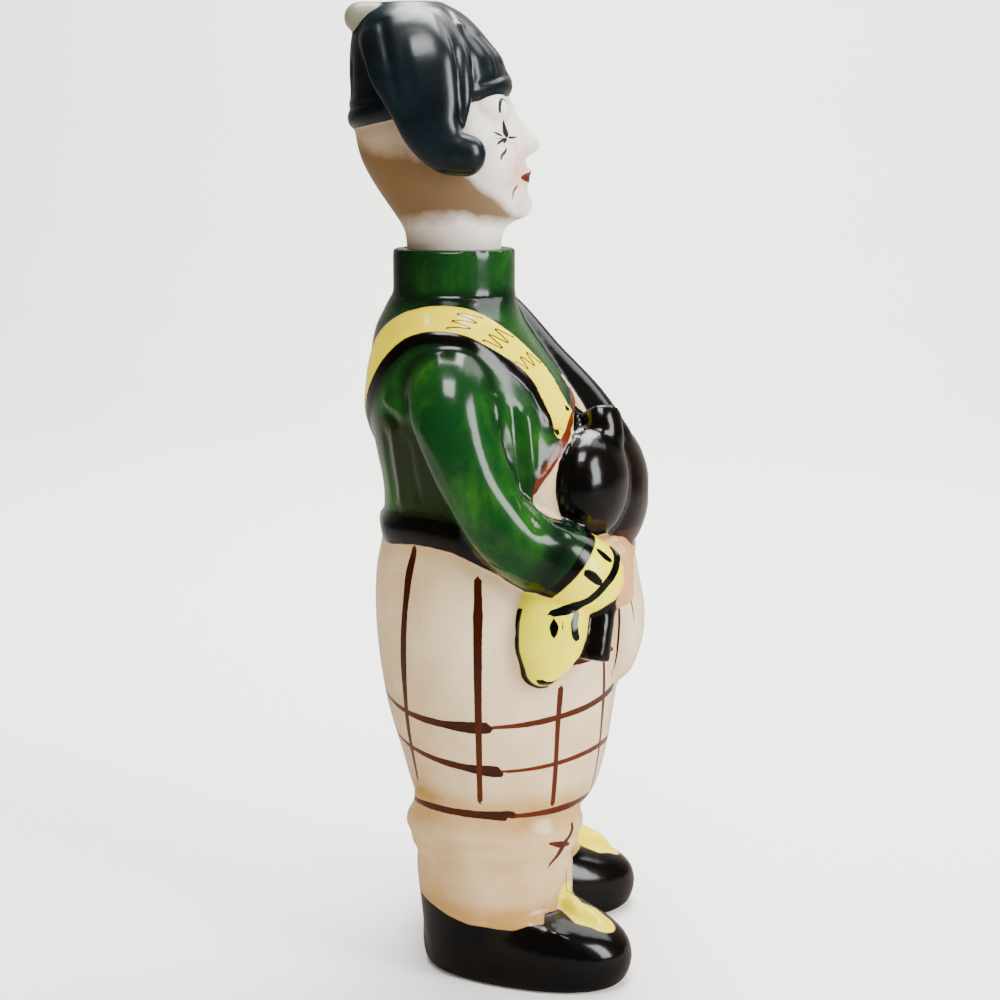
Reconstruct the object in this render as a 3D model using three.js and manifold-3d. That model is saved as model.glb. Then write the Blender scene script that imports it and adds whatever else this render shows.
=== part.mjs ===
// Figural decanter: a stout piper in glazed earthenware.
// The body is the hollow bottle, and the head lifts off as its stopper.
// Millimetres, +Z up. The figure faces -Y with its right side at -X, and stands on z = 0.
import * as THREE from "three";
import { mergeVertices } from "three/addons/utils/BufferGeometryUtils.js";
import Module from "manifold-3d";

const wasm = await Module();
wasm.setup();

// Driving sizes.
const figureHeight = 330; // underside of the shoes to the top of the hat
const wall = 4; // thickness of the cast clay
const collarRadius = 21; // outside of the standing collar round the mouth
const collarBoreDepth = 10; // from the collar's rim down to the ledge that the head rests on
const ledgeThickness = 5; // the ring of clay round the mouth
const mouthRadius = 11; // the hole through the ledge
const neckGap = 0.8; // free space between the head's neck and the collar's bore, all round
const spigotGap = 0.5; // free space between the spigot and the mouth, all round
const seatGap = 0.3; // film of air under the neck where it sits on the ledge
const spigotLength = 15; // how far the head's plug reaches below the ledge's upper face
const headWall = 3.5; // thickness of the clay of the head
const strapWidth = 12; // shoulder belt
const strapLift = 1.1; // how far the belt stands out of the jacket
const pipeRadius = 4.3; // lower end of the chanter
const droneRadius = 6; // pipe that lies over the left shoulder

// The figure's forms are measured in millimetres of a figure of the real height, so that they grow with it.
const realHeight = 330;
const mm = figureHeight / realHeight;

// A point given as side (figure's left is positive), forward and up.
const at = (side, forward, up) => new THREE.Vector3(side * mm, -forward * mm, up * mm);

// A closed skin over rings of points, each listed counter-clockwise as seen from the end of the form.
function skin(rings) {
  const sides = rings[0].length;
  const points = rings.flat();
  const faces = [];
  for (let r = 0; r + 1 < rings.length; r++) {
    for (let i = 0; i < sides; i++) {
      const [a, b] = [r * sides + i, r * sides + ((i + 1) % sides)];
      faces.push(a, b, b + sides, a, b + sides, a + sides);
    }
  }
  for (const last of [false, true]) {
    const ring = rings[last ? rings.length - 1 : 0];
    const first = last ? (rings.length - 1) * sides : 0;
    const centre = points.length;
    points.push(ring.reduce((sum, p) => sum.add(p), new THREE.Vector3()).divideScalar(sides));
    for (let i = 0; i < sides; i++) {
      const [a, b] = [first + i, first + ((i + 1) % sides)];
      faces.push(...(last ? [a, b, centre] : [b, a, centre]));
    }
  }
  return new THREE.BufferGeometry().setFromPoints(points).setIndex(faces);
}

// A geometry as a solid that can be joined and cut.
function solid(geometry) {
  const bare = geometry.clone();
  bare.deleteAttribute("normal");
  bare.deleteAttribute("uv");
  const merged = mergeVertices(bare, 1e-4);
  return new wasm.Manifold(
    new wasm.Mesh({
      numProp: 3,
      vertProperties: merged.attributes.position.array,
      triVerts: new Uint32Array(merged.index.array),
    }),
  );
}

const join = (...solids) => solids.reduce((all, next) => all.add(next));
const spread = (t, power) => Math.sign(t) * Math.abs(t) ** power;

// Values between the rows of a table whose first column rises, on a smooth curve through the rows.
function between(rows, height) {
  const last = rows.length - 1;
  if (height <= rows[0][0]) return rows[0].slice(1);
  if (height >= rows[last][0]) return rows[last].slice(1);
  const i = rows.findIndex((row) => row[0] > height) - 1;
  const [p, q] = [rows[i], rows[i + 1]];
  const [before, after] = [rows[Math.max(i - 1, 0)], rows[Math.min(i + 2, last)]];
  const span = q[0] - p[0];
  const t = (height - p[0]) / span;
  return p.slice(1).map((_, c) => {
    const k = c + 1;
    const leave = ((q[k] - before[k]) / (q[0] - before[0])) * span;
    const arrive = ((after[k] - p[k]) / (after[0] - p[0])) * span;
    const [t2, t3] = [t * t, t * t * t];
    const held = (2 * t3 - 3 * t2 + 1) * p[k] + (3 * t2 - 2 * t3) * q[k];
    return held + (t3 - 2 * t2 + t) * leave + (t3 - t2) * arrive;
  });
}

// A level ring from its rearmost and foremost points and half its breadth.
// Squareness over 2 fills out the corners.
function levelRing(up, [back, front, half], { sides = 24, square = 2, side = 0, tilt = 0 } = {}) {
  const [middle, depth] = [(back + front) / 2, (front - back) / 2];
  return Array.from({ length: sides }, (_, i) => {
    const turn = (2 * Math.PI * i) / sides;
    const forward = middle + depth * spread(Math.cos(turn), 2 / square);
    return at(side + half * spread(Math.sin(turn), 2 / square), forward, up + tilt * (forward - middle));
  });
}

// A form stacked from level rings. Inset shrinks it on all sides, for the hollow inside a wall.
function stack(rows, heights, options = {}) {
  const inset = (options.inset ?? 0) / mm;
  return skin(
    heights.map((up) => {
      const [back, front, half] = between(rows, up);
      const step = 0.5;
      const [low, high] = [between(rows, up - step), between(rows, up + step)];
      const flare = (high[2] - low[2] + high[1] - high[0] - low[1] + low[0]) / (3 * 2 * step);
      const slant = Math.hypot(1, flare);
      const [inward, drop] = [inset / slant, (inset * flare) / slant];
      return levelRing(up + drop, [back + inward, front - inward, half - inward], options);
    }),
  );
}

// A round-ended limb through stations of [point, radius across, radius along the broad direction].
function limb(stations, { sides = 12, steps = 8, broad = new THREE.Vector3(0, 0, 1), roundSteps = 2 } = {}) {
  const line = new THREE.CatmullRomCurve3(stations.map(([point]) => point));
  const radii = stations.map(([, a, b = a]) => new THREE.Vector3(a * mm, b * mm, 0));
  const sizes = new THREE.CatmullRomCurve3(radii);
  const rings = [];
  const ring = (centre, along, a, b) => {
    const v = broad.clone().addScaledVector(along, -broad.dot(along)).normalize();
    const u = v.clone().cross(along).normalize();
    rings.push(
      Array.from({ length: sides }, (_, i) => {
        const turn = (2 * Math.PI * i) / sides;
        return centre.clone().addScaledVector(u, a * Math.cos(turn)).addScaledVector(v, b * Math.sin(turn));
      }),
    );
  };
  const end = (t, sense) => {
    const [centre, along, size] = [line.getPoint(t), line.getTangent(t), sizes.getPoint(t)];
    const reach = Math.min(size.x, size.y);
    for (let k = 1; k <= roundSteps; k++) {
      const turn = (Math.PI / 2) * (sense < 0 ? k / (roundSteps + 1) : 1 - k / (roundSteps + 1));
      const moved = centre.clone().addScaledVector(along, sense * reach * Math.cos(turn));
      ring(moved, along, size.x * Math.sin(turn), size.y * Math.sin(turn));
    }
  };
  end(0, -1);
  for (let k = 0; k <= steps; k++) {
    const t = k / steps;
    const size = sizes.getPoint(t);
    ring(line.getPoint(t), line.getTangent(t), size.x, size.y);
  }
  end(1, 1);
  return skin(rings);
}

// An egg-shaped lump: centre, then half its size sideways, forwards and upwards, turned about the vertical.
function lump(centre, [side, forward, up], { turn = 0, sides = 16 } = {}) {
  return new THREE.SphereGeometry(1, sides, Math.round(sides * 0.6))
    .rotateX(Math.PI / 2)
    .scale(side * mm, forward * mm, up * mm)
    .rotateZ(THREE.MathUtils.degToRad(turn))
    .translate(centre.x, centre.y, centre.z);
}

const steps = (from, to, count) =>
  Array.from({ length: count + 1 }, (_, i) => from + ((to - from) * i) / count);

// Trunk: jacket above, kilt below. Each row is [height, rearmost, foremost, half breadth].
const collarForward = -14.3;
const collarFoot = 232;
const collarTop = 248.4;
const collarRoot = 5; // how deep the collar is set into the shoulders
const hem = 58;
const trunkRows = [
  [hem, -28.2, 34.6, 46.4],
  [62, -29.8, 36.8, 47],
  [74, -33.2, 39.8, 48],
  [88, -37.4, 42, 48.8],
  [104, -40.4, 44, 49],
  [122, -42, 44.6, 48],
  [138, -41.6, 44.2, 45.5],
  [150, -39.4, 43.8, 43.5],
  [166, -38.8, 42, 43],
  [180, -41.2, 38, 44],
  [192, -43.4, 32, 44.5],
  [204, -43.6, 23.5, 42.5],
  [214, -42.6, 16, 39],
  [222, -41, 10.4, 34.5],
  [228, -38.2, 7.8, 28],
  [collarFoot, collarForward - collarRadius / mm - 0.9, collarForward + collarRadius / mm + 0.3, 22.5],
];
const trunkHeights = [hem, 63, 74, 90, 107, 124, 142, 160, 176, 191, 204, 213, 221, 227, collarFoot];
const trunkSquare = 2.15;

// Where a point at this height and bearing lies on the trunk. Bearing 0 is the front, 90 the figure's left.
function onTrunk(up, bearing, lift = 0) {
  const [back, front, half] = between(trunkRows, up);
  const turn = THREE.MathUtils.degToRad(bearing);
  const forward = (back + front) / 2 + ((front - back) / 2 + lift) * spread(Math.cos(turn), 2 / trunkSquare);
  return at((half + lift) * spread(Math.sin(turn), 2 / trunkSquare), forward, up);
}

function trunk(inset = 0) {
  const heights = inset ? steps(hem + inset / mm, collarFoot, 8) : trunkHeights;
  return solid(stack(trunkRows, heights, { inset, square: trunkSquare, sides: inset ? 14 : 24 }));
}

// Standing collar, with the ledge and the mouth inside it.
function collarRing(radius, from, to, sides = 24) {
  const foot = at(0, collarForward, 0);
  return solid(new THREE.CylinderGeometry(radius, radius, to - from, sides).rotateX(Math.PI / 2))
    .translate(foot.x, foot.y, (from + to) / 2);
}
const rim = collarTop * mm;
const ledge = rim - collarBoreDepth;

// Legs in turned-down socks, and shoes that toe out. Side is -1 for the figure's right and 1 for its left.
const legSide = 24.5;
const toeOut = 18;
const legRows = [
  [4, -22, 27, 20],
  [20, -24, 28.6, 22],
  [38, -25.4, 28.8, 22.4],
  [41.6, -25.6, 29, 22.6],
  [43.6, -26.8, 30, 23.6],
  [47.5, -27.2, 30.6, 23.8],
  [52.5, -28.2, 31.6, 24.6],
  [57, -27.2, 31, 23.8],
  [64, -26.4, 30, 22.6],
];
const shoeRows = [
  [0, -21.4, 47.4, 18.8],
  [2, -23.2, 49.8, 20.4],
  [8, -24.2, 51.6, 21.2],
  [14, -24.2, 50.4, 21],
  [18, -24, 46.6, 20.4],
  [21, -23.8, 41, 19.8],
  [24.5, -23.4, 30.6, 20.8],
];

function leg(side, inset = 0) {
  const heights = inset ? [wall / mm + 1, 20, 40, 64] : [4, 20, 41.6, 43.6, 48, 52.5, 57, 64];
  return solid(stack(legRows, heights, { inset, side: side * legSide, sides: inset ? 10 : 18 }));
}

function shoe(side, inset = 0) {
  const heights = inset ? [wall / mm + 0.5, 10, 16] : [0, 1.6, 8, 14, 20, 24.5];
  const form = stack(shoeRows, heights, { inset, square: 2.2, sides: inset ? 12 : 22 });
  const turned = form.rotateZ(THREE.MathUtils.degToRad(side * toeOut));
  return solid(turned.translate(side * legSide * mm, 0, 0));
}

// The tongue that runs up the front of the ankle.
function tongue(side) {
  const toe = THREE.MathUtils.degToRad(toeOut);
  const along = (forward, up) =>
    at(side * (legSide + forward * Math.sin(toe)), forward * Math.cos(toe), up);
  const stations = [
    [along(38, 18), 8, 4],
    [along(32.5, 22.5), 8.6, 4],
    [along(27.5, 29), 7.6, 4],
  ];
  return solid(limb(stations, { sides: 8, steps: 3, broad: new THREE.Vector3(0, 1, 0.6) }));
}

// Arms bend across the belly. Each is a sleeve, a turned cuff and a fist.
const acrossArm = new THREE.Vector3(0, 1, 0);
const armLine = [
  [36, -12, 207.5, 11.5, 14],
  [42.5, -11, 199, 12.2, 14],
  [45.5, -8, 186, 11.8, 12.2],
  [46, -1.6, 171, 11.4, 11.4],
  [45.8, 7, 158.5, 11.6, 11.8],
  [43.5, 15.5, 151.5, 11.8, 12.2],
  [41, 23.5, 148, 12.2, 12.8],
];

function sleeve(side, inset = 0) {
  const stations = armLine.map(([out, forward, up, thick, broad]) => [
    at(side * out, forward, up),
    thick - inset / mm,
    broad - inset / mm,
  ]);
  const detail = inset ? { sides: 6, steps: 4, roundSteps: 1 } : { sides: 12, steps: 7 };
  return solid(limb(stations, { ...detail, broad: acrossArm }));
}

function cuff(side) {
  const stations = [
    [at(side * 41.6, 23, 148.4), 12.6, 13.2],
    [at(side * 40, 28.5, 145), 13, 13.6],
    [at(side * 38.5, 33, 142), 12.6, 13.2],
  ];
  return solid(limb(stations, { sides: 12, steps: 2, broad: acrossArm, roundSteps: 1 }));
}

// A fist whose four fingers lie level, one above the other.
const fingers = 4;
const fingerPitch = 4.8;
const knuckle = 1.7;
function fist(side) {
  const rows = steps(0, 2 * fingers, 2 * fingers).map((k) => {
    const edge = k === 0 || k === 2 * fingers ? 4 : 0;
    const front = 47 + (k % 2 ? knuckle : 0) - edge;
    return [132 + (k * fingerPitch) / 2, 31 + edge, front, 8 + (k % 2 ? knuckle / 2 : 0) - edge / 2];
  });
  const heights = rows.map(([up]) => up);
  return solid(stack(rows, heights, { side: side * 31, sides: 10, square: 2.4 }));
}

// The wide tail of the cuff that hangs down the kilt on the figure's right.
function cuffTail() {
  const stations = [
    [at(-44, 23, 134), 6, 11.5],
    [at(-47.5, 23.5, 126), 6.4, 12],
    [at(-48, 22, 117.5), 6, 10.8],
    [at(-47, 19.5, 111.5), 4.6, 6.8],
  ];
  return solid(limb(stations, { sides: 10, steps: 4, broad: acrossArm }));
}

// Bagpipe: the bag on the belly, its tied neck, the chanter below the right fist
// and the drone over the left shoulder.
function bag() {
  const right = lump(at(-20, 35.5, 170.5), [21, 15.4, 20], { turn: -12, sides: 12 });
  const middle = lump(at(6, 36.3, 164), [27, 17.4, 25.5], { sides: 12 });
  const seam = [
    [at(-33.5, 26.5, 187.5), 2.2],
    [at(-26.5, 37, 189.5), 2.4],
    [at(-14, 42, 188.5), 2.6],
    [at(-4, 43, 184), 2.2],
  ];
  return join(solid(right), solid(middle), solid(limb(seam, { sides: 6, steps: 5, roundSteps: 1 })));
}

function bagNeck() {
  const stations = [
    [at(-19, 32.5, 185), 7.4, 9],
    [at(-19.5, 33, 190.5), 7.4, 9.2],
    [at(-20, 31.5, 195.5), 8, 9.8],
  ];
  return solid(limb(stations, { sides: 10, steps: 3, broad: acrossArm, roundSteps: 1 }));
}

function chanter() {
  const radius = pipeRadius / mm;
  const stations = [
    [at(-34, 39.5, 145), radius],
    [at(-40, 38, 130), radius],
    [at(-44.5, 36.5, 115), radius],
  ];
  return solid(limb(stations, { sides: 10, steps: 2, broad: new THREE.Vector3(1, 0, 0), roundSteps: 0 }));
}

const droneLine = [
  [4, 40, 183],
  [8, 32.5, 194.5],
  [14, 18, 210.5],
  [20, 3, 226],
  [24, -11, 235.5],
  [26.5, -25, 239],
];
function drone() {
  const radius = droneRadius / mm;
  const stations = droneLine.map((point) => [at(...point), radius]);
  const pipe = limb(stations, { sides: 8, steps: 8, broad: new THREE.Vector3(1, 0, 0), roundSteps: 1 });
  const knob = [radius, radius, radius].map((size) => size * 1.35);
  const knobs = [droneLine[2], droneLine[5]].map((point) => solid(lump(at(...point), knob, { sides: 8 })));
  return join(solid(pipe), ...knobs);
}

// Hair sporran that hangs in front of the kilt.
const sporranRows = [
  [97, 32, 43, 6],
  [99.5, 32, 46.8, 12],
  [105, 32, 49.8, 17.5],
  [114, 32, 52.2, 21],
  [124, 32, 52.4, 21.4],
  [134, 32, 50.6, 19],
  [144, 32, 48.6, 15],
  [152, 32, 46, 12],
];
function sporran() {
  return solid(stack(sporranRows, sporranRows.map(([up]) => up), { sides: 14 }));
}

// Rolled hem of the jacket, from the middle of the back round to where the front edge parts over the hip.
const hemLine = [
  [180, 153.5],
  [150, 154],
  [125, 156],
  [105, 154.5],
  [88, 148.5],
  [72, 142],
];
function jacketHem(side) {
  const stations = hemLine.map(([bearing, up]) => [onTrunk(up, side * bearing, -0.4), 2.6, 4.6]);
  return solid(limb(stations, { sides: 6, steps: 7, roundSteps: 1 }));
}

// Shoulder belt on the jacket: height and bearing along its middle, from the chest
// over the right shoulder and down across the back to the left hip.
const strapLine = [
  [187, -38],
  [196, -35],
  [205, -33],
  [212, -37],
  [219, -49],
  [224, -66],
  [226, -87],
  [225.5, -106],
  [222.5, -124],
  [216, -142],
  [207.5, -157],
  [199, -171],
  [189, -186],
  [178, -202],
  [168, -218],
  [159, -234],
];
// The belt's section: across in half widths, out of the jacket in lifts.
const strapSection = [
  [-1, -1.6],
  [1, -1.6],
  [1, 0.6],
  [0.84, 1],
  [-0.84, 1],
  [-1, 0.6],
];
const strapSteps = 17;

function strap() {
  const marks = strapLine.map(([up, bearing]) => new THREE.Vector3(up, bearing, 0));
  const route = new THREE.CatmullRomCurve3(marks);
  const placed = (t, lift = 0) => {
    const { x: up, y: bearing } = route.getPoint(THREE.MathUtils.clamp(t, 0, 1));
    return onTrunk(up, bearing, lift);
  };
  const rings = steps(0, 1, strapSteps).map((t) => {
    const [near, middle] = [0.01, placed(t)];
    const along = placed(t + near).sub(placed(t - near)).normalize();
    const up = route.getPoint(t).x;
    const slope = (between(trunkRows, up - 1)[2] - between(trunkRows, up + 1)[2]) / 2;
    const level = placed(t, 1).sub(middle).normalize();
    const outward = level.add(new THREE.Vector3(0, 0, slope)).normalize();
    const across = outward.clone().cross(along).normalize();
    return strapSection.map(([a, lift]) =>
      middle
        .clone()
        .addScaledVector(across, (a * strapWidth) / 2)
        .addScaledVector(outward, lift * strapLift),
    );
  });
  return solid(skin(rings));
}

function bottle() {
  const both = (make, ...rest) => [make(-1, ...rest), make(1, ...rest)];
  const outside = join(
    trunk(),
    collarRing(collarRadius, (collarFoot - collarRoot) * mm, rim),
    ...both(leg),
    ...both(shoe),
    ...both(tongue),
    ...both(sleeve),
    ...both(cuff),
    ...both(fist),
    ...both(jacketHem),
    cuffTail(),
    bag(),
    bagNeck(),
    chanter(),
    drone(),
    sporran(),
    strap(),
  );
  const inside = join(
    trunk(wall),
    ...both(leg, wall),
    ...both(shoe, wall),
    ...both(sleeve, wall),
    collarRing(collarRadius - wall, (collarFoot - collarRoot) * mm, ledge - ledgeThickness),
    collarRing(mouthRadius, (collarFoot - collarRoot) * mm, rim),
    collarRing(collarRadius - wall, ledge, rim + 1),
  );
  return outside.subtract(inside);
}

// Head: face and back of the head over the neck. Each row is [height, rearmost, foremost, half breadth].
const neckRadius = collarRadius - wall - neckGap;
const headRows = [
  [250, collarForward - neckRadius / mm, collarForward + neckRadius / mm, neckRadius / mm],
  [254.5, -31.2, 3, 16.3],
  [258.5, -33.6, 7.4, 17.2],
  [264, -37.4, 11, 19],
  [271, -42, 10.6, 21.4],
  [278, -45.6, 10.2, 22.8],
  [285, -47.4, 9.4, 23.4],
  [292, -48, 6.8, 23.4],
  [299, -47.6, 4, 22.8],
  [307, -45.5, 1, 21.4],
  [315, -41, -6, 17],
  [320, -34, -14, 10],
];

function skull(inset = 0) {
  const heights = inset ? steps(256, 312, 6) : [250, 254, 258.5, 264, 271, 279, 287, 296, 307, 320];
  return solid(stack(headRows, heights, { inset, sides: inset ? 12 : 20, square: 2.1 }));
}

function face() {
  const bridge = [
    [at(0, 6.4, 294), 2],
    [at(0, 10, 290), 2.4],
    [at(0, 13.6, 286), 3],
  ];
  const bump = (side, forward, up, size, sides = 8) =>
    solid(lump(at(side, forward, up), size, { sides }));
  const pair = (side, ...rest) => [bump(-side, ...rest), bump(side, ...rest)];
  return join(
    solid(limb(bridge, { sides: 6, steps: 2, roundSteps: 1 })),
    ...pair(2.8, 11, 284.4, [2, 2.8, 2], 6),
    ...pair(9, 3, 293.6, [7, 4.6, 3], 6),
    ...pair(10.6, 2, 279.5, [8, 7.6, 8]),
    bump(0, 10.2, 276.8, [4.2, 2.6, 1.6], 6),
    bump(0, 9.9, 273.8, [3.6, 2.6, 1.6], 6),
    bump(0, 9, 266, [6.8, 5.4, 5.6]),
  );
}

function ear() {
  const stations = [
    [at(23.4, -19, 290), 2.2, 3.2],
    [at(24.4, -19.6, 284.5), 2.2, 3.4],
    [at(23.2, -17.6, 279), 2, 2.4],
  ];
  return solid(limb(stations, { sides: 8, steps: 3, broad: acrossArm, roundSteps: 1 }));
}

// Bonnet: a close crown over a rolled brim that is higher in front. Heights are above the brim's middle.
const bonnetTilt = 0.19;
const bonnetDepth = 38; // above the brim by this much the rings lie level again
const brimHeight = 296;
const crownRows = [
  [-2.4, -46.5, 2, 22.6],
  [-1.6, -49.6, 5, 25.6],
  [0.4, -50.2, 5.6, 26.2],
  [2.4, -48.9, 4.3, 25],
  [7, -49.2, 3.8, 25.4],
  [13, -49.4, 2, 25.4],
  [19, -49.2, -2, 24.2],
  [25, -48.4, -6.4, 21.4],
  [30, -46.6, -11.4, 17],
  [34, -42, -18, 10.5],
];

function crown() {
  const rings = crownRows.map(([up, ...size]) => {
    const tilt = bonnetTilt * (1 - up / bonnetDepth);
    return levelRing(brimHeight + up, size, { sides: 18, tilt, square: 2.1 });
  });
  return solid(skin(rings));
}

// The bonnet's tail, which falls over the right ear and curls forward at the cheek, and the fold before it.
function bonnetTail() {
  const tail = [
    [at(-4, -33, 324), 5.4, 11.5],
    [at(-15, -30.5, 320), 5.6, 14],
    [at(-23.5, -26, 309.5), 5.2, 14.4],
    [at(-27, -21.5, 297), 5, 12],
    [at(-28, -18.5, 287.5), 5.2, 9.6],
    [at(-28, -13, 281), 6, 7.8],
    [at(-27, -7, 279.5), 6.2, 7],
  ];
  const fold = [
    [at(-13, -12.5, 321), 2.6, 3.4],
    [at(-21, -10, 309), 2.8, 3.6],
    [at(-25, -9, 298), 2.6, 3.4],
    [at(-25.4, -9.6, 289), 1.6, 2],
  ];
  return join(
    solid(limb(tail, { sides: 10, steps: 8, broad: new THREE.Vector3(0, -1, 0.25) })),
    solid(limb(fold, { sides: 6, steps: 5, broad: acrossArm, roundSteps: 1 })),
  );
}

function bobble() {
  const stations = [
    [at(-2, -46, brimHeight + 29.6), 5, 4.6],
    [at(-2, -38.5, brimHeight + 30), 5, 4],
  ];
  return solid(limb(stations, { sides: 10, steps: 1 }));
}

function headStopper() {
  const spigotRadius = mouthRadius - spigotGap;
  const spigotFoot = ledge - spigotLength;
  const outside = join(
    skull(),
    collarRing(neckRadius, ledge + seatGap, headRows[0][0] * mm + 1),
    collarRing(spigotRadius, spigotFoot, ledge + seatGap + 1, 20),
    face(),
    ear(),
    crown(),
    bonnetTail(),
    bobble(),
  );
  const inside = join(skull(headWall), collarRing(spigotRadius - headWall, spigotFoot - 1, 262 * mm, 16));
  return outside.subtract(inside);
}

// A solid as a named mesh in its own glaze.
function glazed(name, form, color) {
  const { vertProperties, triVerts } = form.getMesh();
  const geometry = new THREE.BufferGeometry()
    .setAttribute("position", new THREE.BufferAttribute(vertProperties, 3))
    .setIndex(new THREE.BufferAttribute(triVerts, 1));
  geometry.computeVertexNormals();
  const glaze = new THREE.MeshStandardMaterial({ color, roughness: 0.12, metalness: 0 });
  const mesh = new THREE.Mesh(geometry, glaze);
  mesh.name = name;
  return mesh;
}

const decanter = new THREE.Group();
decanter.add(glazed("bottle", bottle(), "#1f5a2c"), glazed("head_stopper", headStopper(), "#ead9c4"));

// The origin is on the ground under the middle of the figure.
const box = new THREE.Box3().setFromObject(decanter);
decanter.position.set(-(box.min.x + box.max.x) / 2, -(box.min.y + box.max.y) / 2, -box.min.z);

export default decanter;
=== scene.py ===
from math import copysign, cos, hypot, pi, radians, sin

import bmesh
import bpy
import numpy as np
from mathutils import Matrix, Vector
from mathutils.bvhtree import BVHTree


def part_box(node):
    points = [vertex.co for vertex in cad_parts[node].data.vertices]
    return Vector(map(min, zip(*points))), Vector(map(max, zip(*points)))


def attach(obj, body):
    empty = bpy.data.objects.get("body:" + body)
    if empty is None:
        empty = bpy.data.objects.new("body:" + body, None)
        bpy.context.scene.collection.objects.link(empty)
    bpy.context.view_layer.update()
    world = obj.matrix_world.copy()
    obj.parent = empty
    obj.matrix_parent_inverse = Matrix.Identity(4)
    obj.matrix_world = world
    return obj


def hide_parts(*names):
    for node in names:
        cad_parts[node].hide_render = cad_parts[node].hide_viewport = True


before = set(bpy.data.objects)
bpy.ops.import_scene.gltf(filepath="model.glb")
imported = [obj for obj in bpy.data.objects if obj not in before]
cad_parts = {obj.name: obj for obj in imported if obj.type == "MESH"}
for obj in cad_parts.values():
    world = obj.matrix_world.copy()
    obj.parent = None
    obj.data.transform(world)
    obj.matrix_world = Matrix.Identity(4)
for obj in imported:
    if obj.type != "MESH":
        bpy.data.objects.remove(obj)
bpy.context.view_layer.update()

# The figure is measured in millimetres: side (its own left is positive), forward and up.
# Inside a form these are x, -y and z. toRow lays a form in the frame, in metres.
body = {
    "collarForward": -14.3,
    "collarFoot": 232,
    "collarTop": 248.4,
    "collarRadius": 21,
    "collarBoreDepth": 10,
    "ledgeThickness": 5,
    "mouthRadius": 11,
    "neckGap": 0.8,
    "spigotGap": 0.5,
    "seatGap": 0.3,
    "spigotLength": 15,
    "wall": 4,
    "headWall": 3.5,
    "hem": 58,
    "bottleGrain": 1.24,
    "bottleRounding": 5,
    "headGrain": 0.62,
    "headRounding": 12,
    "hollowGrain": 2.5,
}
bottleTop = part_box("bottle")[1].z
rimDepths = [v.co.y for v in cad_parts["bottle"].data.vertices if v.co.z > bottleTop - 0.0001]
figureMiddle = (min(rimDepths) + max(rimDepths)) / 2 + body["collarForward"] / 1000
toRow = Matrix.Translation((0, figureMiddle, 0)) @ Matrix.Scale(0.001, 4)
toFigure = toRow.inverted()
ledgeTop = body["collarTop"] - body["collarBoreDepth"]
shapes = {}  # the surface of every form, kept for painting


def spot(side, forward, up):
    return Vector((side, -forward, up))


def spread(value, power):
    return copysign(abs(value) ** power, value)


def rowAt(rows, height):  # a smooth curve through the rows of a table
    last = len(rows) - 1
    if height <= rows[0][0]:
        return list(rows[0][1:])
    if height >= rows[last][0]:
        return list(rows[last][1:])
    i = next(k for k, row in enumerate(rows) if row[0] > height) - 1
    low, high = rows[i], rows[i + 1]
    before, after = rows[max(i - 1, 0)], rows[min(i + 2, last)]
    gap = high[0] - low[0]
    t = (height - low[0]) / gap
    values = []
    for k in range(1, len(low)):
        leave = (high[k] - before[k]) / (high[0] - before[0]) * gap
        arrive = (after[k] - low[k]) / (after[0] - low[0]) * gap
        value = (2 * t**3 - 3 * t**2 + 1) * low[k] + (3 * t**2 - 2 * t**3) * high[k]
        values.append(value + (t**3 - 2 * t**2 + t) * leave + (t**3 - t**2) * arrive)
    return values


def routeAt(points, t):  # a point on a smooth route through the given ones, with t from 0 to 1
    points = [Vector(p) for p in points]
    place = min(max(t, 0), 1) * (len(points) - 1)
    i = min(int(place), len(points) - 2)
    part = place - i
    before = points[i - 1] if i else points[0] * 2 - points[1]
    after = points[i + 2] if i + 2 < len(points) else points[-1] * 2 - points[-2]
    here, there = points[i], points[i + 1]
    gaps = [max((b - a).length, 1e-4) ** 0.5 for a, b in ((before, here), (here, there), (there, after))]
    leave = (here - before) / gaps[0] - (there - before) / (gaps[0] + gaps[1]) + (there - here) / gaps[1]
    arrive = (there - here) / gaps[1] - (after - here) / (gaps[1] + gaps[2]) + (after - there) / gaps[2]
    leave, arrive = leave * gaps[1], arrive * gaps[1]
    curve = here * (2 * part**3 - 3 * part**2 + 1) + there * (3 * part**2 - 2 * part**3)
    return curve + leave * (part**3 - 2 * part**2 + part) + arrive * (part**3 - part**2)


def evenly(low, high, count):
    return [low + (high - low) * k / count for k in range(count + 1)]


def named(inset):
    return "inside " if inset else ""


def stationsOf(rows, side=1, inset=0.0):  # a row is side, forward, up and one or two radii
    return [(spot(side * row[0], row[1], row[2]), *[size - inset for size in row[3:]]) for row in rows]


def flipped(points, flip=1):  # a point is side, forward, up and half width
    return [(flip * side, -forward, up, half) for side, forward, up, half in points]


def deselectAll():
    if bpy.context.object and bpy.context.object.mode != "OBJECT":
        bpy.ops.object.mode_set(mode="OBJECT")
    bpy.ops.object.select_all(action="DESELECT")


def keepShape(piece):
    mesh = piece.data
    points = [toFigure @ v.co for v in mesh.vertices]
    faces = [tuple(p.vertices) for p in mesh.polygons]
    low = np.array(points).min(0)
    high = np.array(points).max(0)
    shapes[piece.name] = (BVHTree.FromPolygons(points, faces), low, high)


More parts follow.
